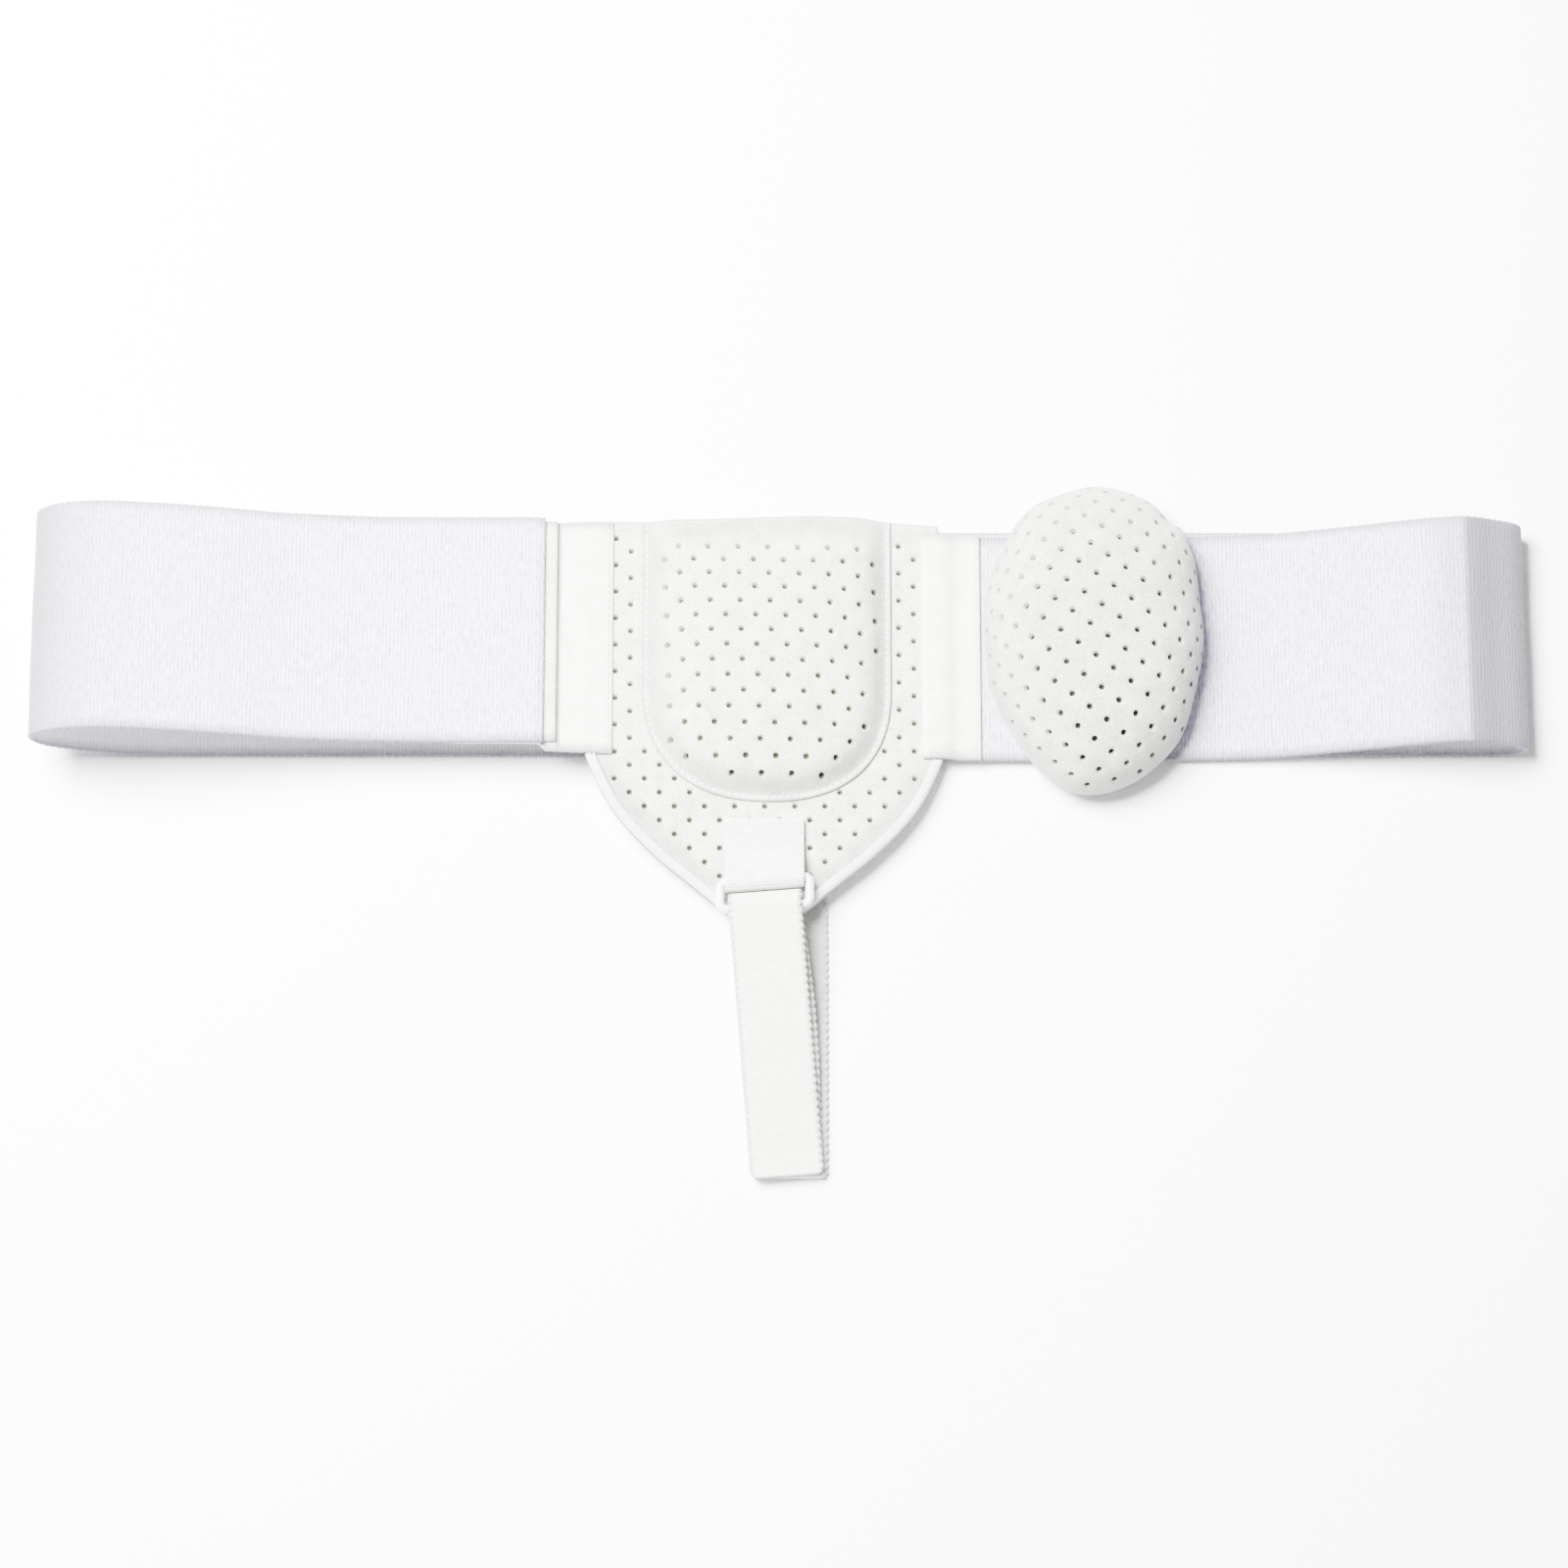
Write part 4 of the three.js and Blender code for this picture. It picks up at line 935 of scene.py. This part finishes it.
def pocket_form(p):
    """The pocket's cover before its foam has pushed it out."""
    x, y = p[:, 0], p[:, 1]
    edge = edge_distance(p, POCKET_SIDES) * inside(p, POCKET_SIDES)
    rise = np.interp(edge, POCKET_PATH[:, 0], POCKET_PATH[:, 1])
    down = np.maximum(top_edge(x) - y, 0)
    gathers = 0.035 * np.cos(2 * np.pi * down / 4.6) * np.exp(-((down / 9) ** 2))
    rise = rise * (lerp(0.4, 1, smoothstep(down, -1, 15)) + gathers)
    z = shield_top(x, y) + GAP + POCKET_CROWN * rise
    z += 0.25 * waves(x, y, 30, 5) * rise + 0.1 * waves(x, y, 9, 6) * rise
    return np.stack([x, y, z], axis=1)


POCKET_PUSH = blown_up("pocket_cloth", POCKET, pocket_form, sewn=3.4, pressure=4.0, cap=1.6)
STITCHED_IN = 1.5  # from the pocket's edge in to its row of stitches
# The pocket's perforation: the place of one hole, and half the squares' size along and down the body. Its
# rows are bent a little, and drift to the right on the way down.
POCKET_HOLE = (-2.5, -10.9)
POCKET_STEP = (5.1, 5.35)
POCKET_BEND = 0.035
POCKET_DRIFT = 0.037


def pocket_lift(p):
    return pocket_form(p) + eased(POCKET_PUSH, p)


def pocket_holes():
    """Holes on a lattice like the shield's, clear of the seam and the gathered upper edge."""
    i, j = np.meshgrid(np.arange(-9, 10), np.arange(-10, 11))
    even = (i + j) % 2 == 0
    i, j = i[even], j[even]
    up = -POCKET_STEP[1] * j - POCKET_BEND * j**2
    x = POCKET_HOLE[0] + POCKET_STEP[0] * i - POCKET_DRIFT * up
    holes = np.stack([x, POCKET_HOLE[1] + up], axis=1)
    holes = holes[inside(holes, POCKET)]
    return holes[(edge_distance(holes, POCKET_SIDES) > 4.7) & (top_edge(holes[:, 0]) - holes[:, 1] > 8)]


def pocket_cover():
    def base(p):
        return np.column_stack([p, shield_top(p[:, 0], p[:, 1]) + GAP])

    points, groups, cloth, edge = punched(
        POCKET, pocket_holes(), radius=1.05, lift=pocket_lift, base=base, spacing=1.15,
        rows=(0.4, 0.9, 1.5, 2.1, 2.8, 3.5, 4.2),
    )
    # Painted shade: the edge and the groove of the seam are darkened, and the slope inside them a little.
    painted_shade = 0.38 * smoothstep(edge, 1.8, 2.6) * (1 - smoothstep(edge, 3, 12))
    painted_shade = np.maximum(painted_shade, 0.8 * (1 - smoothstep(edge, 0.1, 0.8)))
    painted_shade = np.maximum(painted_shade, 0.5 * near(edge, STITCHED_IN + 0.1, 0.4))
    cover = make("padded_pocket", points, groups, [COVER, FOAM_PAINTED_SHADE, HOLE_FLOOR_SHADE], cloth, painted_shade)
    mount(cover, "perforated_cover", "pocket_pad")
    seam = pocket_seam(STITCHED_IN)
    at = pocket_lift(seam[seam[:, 1] < SHIELD_TOP - 1]) + [0, 0, 0.12]
    stitches("pocket_stitches", at, "perforated_cover", pitch=2.5, length=1.9, width=0.5)


pocket_cover()

# The egg's outline: turn round an ellipse in degrees, and reach as a share of the ellipse's.
EGG_OUTLINE = [
    (0, 1.0), (15, 1.005), (30, 1.07), (41, 1.09), (46, 1.05), (58, 1.045), (75, 1.01), (90, 1.0),
    (105, 0.99), (122, 1.025), (134, 1.03), (141, 1.02), (160, 1.035), (180, 1.01), (200, 1.0),
    (225, 0.97), (240, 0.99), (255, 1.01), (270, 0.995), (285, 0.98), (300, 0.98), (320, 1.0),
    (340, 0.975),
]
EGG_SEAT = FRONT_ON_BACK + WEB_THICK / 2 + GAP
# From the crown to the rim and under it: share of the outline's reach, share of the crown's height.
EGG_PROFILE = [
    (0, 1.0), (0.3, 0.985), (0.57, 0.93), (0.77, 0.79), (0.9, 0.59), (0.975, 0.36), (1.0, 0.16),
    (0.985, 0.07), (0.955, 0.0),
]
TURNS, WAYS = 360, 240  # steps of the egg's table round it and down each meridian
# The egg's perforation on its flat cutting: the place of one hole, and the lattice's two slanted steps.
EGG_HOLE = (-6.6, -7.1)
EGG_STEPS = ((5.9, -4.47), (-4.15, -6.65))


def egg_tables():
    """Meridians of the egg: for even turns, the reach of the outline and the way down each meridian."""
    turn = np.radians([t for t, _ in EGG_OUTLINE])
    reach = np.array([r for _, r in EGG_OUTLINE])[:, None]
    loop = reach * np.stack([EGG_HALF_WIDTH * np.cos(turn), EGG_HALF_HEIGHT * np.sin(turn)], axis=1)
    loop = spline(loop, 0.4, closed=True)
    angle = np.unwrap(np.arctan2(loop[:, 1], loop[:, 0]))
    even = np.linspace(0, 2 * np.pi, TURNS + 1)
    radius = np.interp(even, angle, np.linalg.norm(loop, axis=1), period=2 * np.pi)
    profile = spline(EGG_PROFILE, 0.004)
    way = np.array([length_along(profile * [r, EGG_CROWN]) for r in radius])
    share = np.linspace(0, 1, WAYS + 1)
    place = np.array([np.interp(share, w / w[-1], np.linspace(0, 1, len(profile))) for w in way])
    return even, radius, way[:, -1], place, profile


EGG_TURN, EGG_RADIUS, EGG_WAY, EGG_PLACE, EGG_CURVE = egg_tables()


def egg_polar(p):
    """Of a point of the egg's cutting: its turn, the outline's reach there and the share of the way down."""
    turn = np.mod(np.arctan2(p[:, 1], p[:, 0]), 2 * np.pi)
    share = np.hypot(p[:, 0], p[:, 1]) / np.interp(turn, EGG_TURN, EGG_WAY)
    return turn, np.interp(turn, EGG_TURN, EGG_RADIUS), share


def egg_form(p):
    """Place in space of a point of the egg's cutting, whose radius is the way along a meridian."""
    turn, radius, share = egg_polar(p)
    a, way = np.degrees(turn) * TURNS / 360, np.clip(share, 0, 1) * WAYS
    i, j = np.clip(a.astype(int), 0, TURNS - 1), np.clip(way.astype(int), 0, WAYS - 1)
    here = lerp(EGG_PLACE[i, j], EGG_PLACE[i, j + 1], way - j)
    beside = lerp(EGG_PLACE[i + 1, j], EGG_PLACE[i + 1, j + 1], way - j)
    at = lerp(here, beside, a - i) * (len(EGG_CURVE) - 1)
    low = np.clip(at.astype(int), 0, len(EGG_CURVE) - 2)
    point = lerp(EGG_CURVE[low], EGG_CURVE[low + 1], (at - low)[:, None])
    x = EGG_X + radius * point[:, 0] * np.cos(turn)
    y = EGG_Y + radius * point[:, 0] * np.sin(turn)
    return np.stack([x, y, EGG_SEAT + EGG_CROWN * point[:, 1]], axis=1)


def egg_cutting():
    turn = np.linspace(0, 2 * np.pi, 720, endpoint=False)
    way = np.interp(turn, EGG_TURN, EGG_WAY)
    outline = np.stack([way * np.cos(turn), way * np.sin(turn)], axis=1)
    return evenly(np.vstack([outline, outline[:1]]), 1.0)[:-1]


EGG_CUT = egg_cutting()
EGG_PUSH = blown_up("egg_cloth", EGG_CUT, egg_form, sewn=6, pressure=20.0, cap=1.2)


def egg_lift(p):
    return egg_form(p) + eased(EGG_PUSH, p)


def egg_cover():
    def base(p):
        turn, radius, share = egg_polar(p)
        reach = share * radius * EGG_PROFILE[-1][0]
        z = np.full(len(p), EGG_SEAT)
        return np.stack([EGG_X + reach * np.cos(turn), EGG_Y + reach * np.sin(turn), z], axis=1)

    holes = lattice(EGG_HOLE, *EGG_STEPS, EGG_CUT, margin=8)
    points, groups, cloth, edge = punched(
        EGG_CUT, holes, radius=1.12, lift=egg_lift, base=base, spacing=1.25, rows=(1.0, 2.0, 3.0)
    )
    # Painted shade round the rim of the cover, darkest on the right, the side away from the softbox.
    painted_shade_mark = 0.55 + 0.27 * smoothstep(points[:, 0], EGG_X - 10, EGG_X + EGG_HALF_WIDTH)
    painted_shade = painted_shade_mark * (1 - smoothstep(edge, 5, 19))
    egg = make("egg_shaped_pad", points, groups, [EGG_COVER, FOAM_PAINTED_SHADE, DEEP_HOLE_SHADE], cloth, painted_shade)
    mount(egg, "perforated_cover", "compression_pad")


egg_cover()


NOWHERE = -999  # an x past the belt's left end


def band(name, rows, width, thick, slot, node, fabric, uneven=0.0, seed=1, thin=0.8, tucked=NOWHERE,
         flared=0.0, painted_shade_mark=NOWHERE):
    """A ribbon along X through rows of (x, y, z), thinned over its ends. uneven is how wavy its face is in
    mm. Left of tucked it is narrower, hidden under the web, flared widens it towards its last row, and
    the last argument is the x of a line of painted shadow across it."""
    path = evenly(np.asarray(rows, float), 0.5)
    section = stations(path, width, thick, WEB_COLUMNS)
    s = length_along(path)[:, None]
    section[..., 1] += uneven * waves(s, section[..., 0], 13, seed)
    section[..., 1] *= 0.3 + 0.7 * smoothstep(np.minimum(s, s[-1] - s), 0, thin)
    section[..., 0] *= 1 - 0.06 * (1 - smoothstep(path[:, :1], tucked - 3, tucked))
    section[..., 0] *= 1 + flared * smoothstep(s, 0.35 * s[-1], s[-1])
    points, groups = sweep(section, path, *ribbon_frames(path, (0, 1, 0)))
    # Painted shade: darkened edges, and a line of painted shadow across it at the given x.
    painted_shade = np.maximum(0.7 * near_edge(section, width, 1.3, 0.5), 0.95 * near(path[:, :1], painted_shade_mark, 0.7))
    return mount(make(name, points, groups, [fabric], cloth_of(path, section), painted_shade), slot, node)


def tabs():
    rise = GAP + TAB_THICK / 2
    hook_end = -WEB_END + HOOK_PEEK
    lap_end = SHIELD_LEFT + LEFT_TAB_LAP
    left = [
        (-LEFT_TAB_OUT + HOOK_PEEK, LEFT_TAB_SHIFT, LEFT_TAB_LEVEL),
        (SHIELD_LEFT, LEFT_TAB_SHIFT, LEFT_TAB_LEVEL),
        (lap_end, LEFT_TAB_SHIFT, shield_top(lap_end, 0) + rise - 0.55),
    ]
    # The left tab has a line of painted shadow just right of the hook strip's end.
    band("left_loop_tab", left, WEB_WIDTH, TAB_THICK, "tab_fabric", "left_tab", LOOPS, uneven=0.1, seed=21,
         thin=3.0, tucked=-WEB_END + 1, flared=0.026, painted_shade_mark=hook_end + 0.6)
    start = SHIELD_RIGHT - RIGHT_TAB_LAP
    on_web = FRONT_ON_BACK + WEB_THICK / 2 + rise
    step = SHIELD_RIGHT + GAP
    right = [
        (start, RIGHT_SHIFT, shield_top(start, 0) + rise - 0.45),
        (step, RIGHT_SHIFT, shield_top(step, 0) + rise + GAP / 3),
        (step + 2 * WEB_BUTT, RIGHT_SHIFT, on_web),
        (start + RIGHT_TAB_WIDTH, RIGHT_SHIFT, on_web),
    ]
    band("right_joining_tab", spline(right, 0.4), WEB_WIDTH, TAB_THICK, "tab_fabric", "right_tab", LOOPS,
         uneven=0.08, seed=22, thin=2.0)
    hook = [(hook_end, 0, HOOK_LEVEL), (hook_end - HOOK_LENGTH, 0, HOOK_LEVEL)]
    band("hook_strip", hook, WEB_WIDTH - 2 * HOOK_THICK, HOOK_THICK, "hook_strip", "belt_end_hook", HOOKS,
         tucked=-WEB_END)
    # A row of stitches joins each tab to the shield.
    reach = WEB_WIDTH / 2 - 1.5
    for name, x, y in (
        ("left_tab_stitches", lap_end - 1.6, LEFT_TAB_SHIFT), ("right_tab_stitches", start + 1.6, RIGHT_SHIFT)
    ):
        level = shield_top(x, 0) + GAP + TAB_THICK - 0.42
        row = np.linspace([x, y - reach, level], [x, y + reach, level], 60)
        stitches(name, row, "tab_fabric", pitch=2.6, length=1.9, width=0.45)


tabs()


def askew(points, share=1.0):
    """Moves points up the body with the ring's slant."""
    points = np.array(points, float)
    points[:, 1] += RING_TURN * (points[:, 0] - RING_X) * share
    return points


def strap_ring():
    """A round bar carried along a rectangle with rounded corners."""
    w, h = (RING_WIDTH - BAR) / 2 - RING_CORNER, (RING_HEIGHT - BAR) / 2 - RING_CORNER
    bend = np.linspace(0, np.pi / 2, 10)
    loops = []
    for sx, sy, first in ((1, 1, 0), (-1, 1, 0.5), (-1, -1, 1), (1, -1, 1.5)):
        turn = bend + first * np.pi
        corner = [sx * w + RING_CORNER * np.cos(turn), sy * h + RING_CORNER * np.sin(turn)]
        loops.append(np.stack(corner, axis=1))
    loop = evenly(np.vstack([*loops, loops[0][:1]]), 0.6)[:-1]
    along = unit(np.roll(loop, -1, axis=0) - np.roll(loop, 1, axis=0))
    at = np.column_stack([loop + [RING_X, RING_Y], np.full(len(loop), RING_LEVEL)])
    across = np.column_stack([along[:, 1], -along[:, 0], np.zeros(len(loop))])
    turn = np.arange(20) * np.pi / 10
    section = BAR / 2 * np.stack([np.cos(turn), np.sin(turn)], axis=1)
    points, groups = sweep(section, at, across, np.broadcast_to([0, 0, 1.0], at.shape), closed=True)
    mount(make("strap_ring_moulded", askew(points), groups, [PLASTIC]), "ring_plastic", "strap_ring")


def round_bar(x, y, reach, side, slack):
    """A half turn round a bar, from below it to above it. slack is how far the loop stands off the bar."""
    turn = np.linspace(-np.pi / 2, np.pi / 2, 13)
    out = side * (reach + slack) * np.cos(turn)
    return np.stack([np.full(len(turn), x), y + out, RING_LEVEL + reach * np.sin(turn)], axis=1)


def strap_keeper():
    """Webbing from the shield round the ring's upper bar and back, with both ends sewn on the shield."""
    reach = BAR / 2 + GAP + KEEPER_THICK / 2

    def at(share, layer):
        y = lerp(UPPER_BAR, UPPER_BAR + KEEPER_LENGTH, share)
        rise = GAP + KEEPER_THICK / 2 + layer * (KEEPER_THICK + GAP)
        return [RING_X, y, shield_top(RING_X, y) + rise]

    rows = [at(0.95, 0), at(0.7, 0), at(0.45, 0), at(0.26, 0.15)]
    rows += round_bar(RING_X, UPPER_BAR, reach, -1, 0.5)[::2].tolist()
    rows += [at(0.2, 3.1), at(0.36, 1.6), at(0.48, 0.9), at(0.7, 0.5), at(1, 0.4)]
    path = evenly(np.asarray(rows), 0.4)
    ease = smoothstep(path[:, 1], UPPER_BAR, UPPER_BAR + KEEPER_LENGTH / 2)
    slope = (shield_top(path[:, 0] + 1, path[:, 1]) - shield_top(path[:, 0] - 1, path[:, 1])) / 2
    across = unit(np.stack([np.ones(len(path)), np.zeros(len(path)), slope * ease], axis=1))
    up = unit(np.cross(np.gradient(path, axis=0), across))
    section = ribbon_section(KEEPER_WIDTH, KEEPER_THICK, columns=18)
    points, groups = sweep(section, path, across, up)
    points = askew(points, 1 - smoothstep(points[:, 1], UPPER_BAR + 2, UPPER_BAR + KEEPER_LENGTH * 0.8))
    keeper = make("ring_keeper", points, groups, [KEEPER], cloth_of(path, section))
    mount(keeper, "tab_fabric", "strap_keeper")
    # The last part of the path is the upper layer, which the stitches go through.
    layer = path[-60:]
    for name, share in (("keeper_top_stitches", 0.965), ("keeper_bar_stitches", 0.42)):
        y = lerp(UPPER_BAR, UPPER_BAR + KEEPER_LENGTH, share)
        x = RING_X + np.linspace(-KEEPER_WIDTH / 2 + 0.8, KEEPER_WIDTH / 2 - 0.8, 30)
        level = np.interp(y, layer[:, 1], layer[:, 2]) + KEEPER_THICK / 2 + 0.1
        z = level + (x - RING_X) * np.interp(y, layer[:, 1], (slope * ease)[-len(layer) :])
        row = np.stack([x, np.full(len(x), y), z], axis=1)
        stitches(name, row, "tab_fabric", pitch=2.4, length=1.8)


# The strap's two upper runs: share of the way up to the ring, and the shares of the rise to the ring that
# the middle and the front run have there.
STRAP_RUNS = [
    (0.93, 0.97, 0.95), (0.82, 0.87, 0.83), (0.65, 0.68, 0.64), (0.45, 0.42, 0.4), (0.25, 0.19, 0.18),
    (0.08, 0.04, 0.04),
]
MIDDLE_ASIDE = 1.9  # how far the strap's middle run shows past the front one


def strap_course():
    """The strap's middle line: from its sewn end along the table, round the fold, up to the ring and down."""
    half = STRAP_THICK / 2
    fold = (STRAP_THICK + GAP) / 2
    reach = BAR / 2 + GAP + half
    fold_y = STRAP_BOTTOM + fold + half

    def lean(y):
        return RING_X + STRAP_LEAN * float(np.clip((y - LOWER_BAR) / (STRAP_BOTTOM - LOWER_BAR), 0, 1))

    sewn = WEB_THICK + GAP + half
    edge = -WEB_WIDTH / 2
    back = [
        (STRAP_BACK_X, edge + STRAP_SEAM, sewn), (STRAP_BACK_X, edge - 2 * GAP, sewn),
        (STRAP_BACK_X, edge - 3 * STRAP_THICK, half), (STRAP_BACK_X, fold_y, half),
    ]
    middle_z = half + 2 * fold
    front_z = middle_z + STRAP_THICK + GAP
    turn = []
    for degrees in range(15, 181, 15):
        a = math.radians(degrees)
        x = lerp(STRAP_BACK_X, lean(fold_y), degrees / 180)
        turn.append((x, fold_y - fold * math.sin(a), half + fold - fold * math.cos(a)))
    middle, front = [], []
    for up, low_share, high_share in STRAP_RUNS:
        y = lerp(fold_y, LOWER_BAR - reach, up)
        aside = MIDDLE_ASIDE * math.sin(math.pi * min(1, 1.15 * (1 - up)))
        middle.append((lean(y) + aside, y, lerp(middle_z, RING_LEVEL - reach, low_share)))
        front.append((lean(y), y, lerp(front_z, RING_LEVEL + reach, high_share)))
    rows = back + turn + middle[::-1] + round_bar(RING_X, LOWER_BAR, reach, 1, 2.0).tolist() + front
    rows.append((lean(STRAP_BOTTOM), STRAP_BOTTOM, front_z))
    return evenly(np.asarray(rows, float), 0.4)


STRAP_COLUMNS = 18
STRAP_CORNER = 2.5  # radius of the free end's corners


def leg_strap():
    path = strap_course()
    s = length_along(path)
    section = stations(path, STRAP_WIDTH, STRAP_THICK, STRAP_COLUMNS)
    picot = np.abs(np.sin(np.pi * s / PICOT_PITCH))[:, None]
    to_end = s[-1] - s
    in_corner = np.maximum(STRAP_CORNER - to_end, 0)
    cut = STRAP_CORNER - np.sqrt(np.maximum(STRAP_CORNER**2 - in_corner**2, 0))
    toothed = near_edge(section, STRAP_WIDTH, 1.6)
    section[..., 0] *= 1 - cut[:, None] / (STRAP_WIDTH / 2)
    section[..., 0] += np.sign(section[..., 0]) * toothed * 0.5 * (picot - 1)
    points, groups = sweep(section, path, *ribbon_frames(path, (1, 0, 0)))
    # From the ring on, the strap leans with the ring, each part by the slant of the ring's bar.
    around = section.shape[1]
    hung = smoothstep(np.repeat(s, around), s[-1] * 0.5, s[-1] * 0.6)
    points[:, 1] += hung * RING_TURN * (points[:, 0] - np.repeat(path[:, 0], around))
    # Painted shade: the back run, which lies under the front run, is darkened most, then the gaps between the
    # picots and the cut end.
    back = 0.5 * (1 - smoothstep(s, s[-1] * 0.3, s[-1] * 0.36))
    tip = 0.7 * (1 - smoothstep(to_end, 0.3, 0.9))
    picots = near_edge(section, STRAP_WIDTH, 1.5, 0.7) * (0.95 - 0.6 * picot)
    painted_shade = np.maximum(np.maximum(back, tip)[:, None], picots)
    strap = make("leg_strap_elastic", points, groups, [STRAP], cloth_of(path, section), painted_shade)
    mount(strap, "strap_web", "leg_strap")


strap_ring()
strap_keeper()
leg_strap()

floor_mesh = bpy.data.meshes.new("table_top")
floor_mesh.from_pydata([(-3, -3, 0), (3, -3, 0), (3, 3, 0), (-3, 3, 0)], [], [(0, 1, 2, 3)])
floor = bpy.data.objects.new("table_top", floor_mesh)
bpy.context.scene.collection.objects.link(floor)
# The table is plain white, so that the belt stands out only by its shadows.
floor_mesh.materials.append(material("white_table", "#FFFFFF", 0.9)[0])

world = bpy.data.worlds.new("soft_white_room")
bpy.context.scene.world = world
world.use_nodes = True
world.node_tree.nodes["Background"].inputs["Color"].default_value = linear("#FFFFFF")
world.node_tree.nodes["Background"].inputs["Strength"].default_value = 0.7


# One wide softbox up on the left lights the belt, and its far side falls into soft shade.
SOFTBOX = Vector((-0.55, 0.3, 1.15))
LAMP_AIM = Vector((0, -0.05, 0))
lamp = bpy.data.lights.new("key_softbox", "AREA")
lamp.shape = "DISK"
lamp.size = 0.85
lamp.energy = 268
holder = bpy.data.objects.new("key_softbox", lamp)
bpy.context.scene.collection.objects.link(holder)
holder.location = SOFTBOX
holder.rotation_euler = (LAMP_AIM - SOFTBOX).to_track_quat("-Z", "Y").to_euler()

# The camera looks down steeply from the wearer's feet, through a long lens.
TARGET = Vector((0.00133, -0.0493, 0))
DISTANCE = 1.725
ELEVATION = math.radians(75)
camera_data = bpy.data.cameras.new("camera")
camera_data.lens = 116.44
camera_data.sensor_width = 36
camera = bpy.data.objects.new("camera", camera_data)
bpy.context.scene.collection.objects.link(camera)
camera.location = TARGET + DISTANCE * Vector((0, -math.cos(ELEVATION), math.sin(ELEVATION)))
camera.rotation_euler = (math.pi / 2 - ELEVATION, 0, 0)
bpy.context.scene.camera = camera
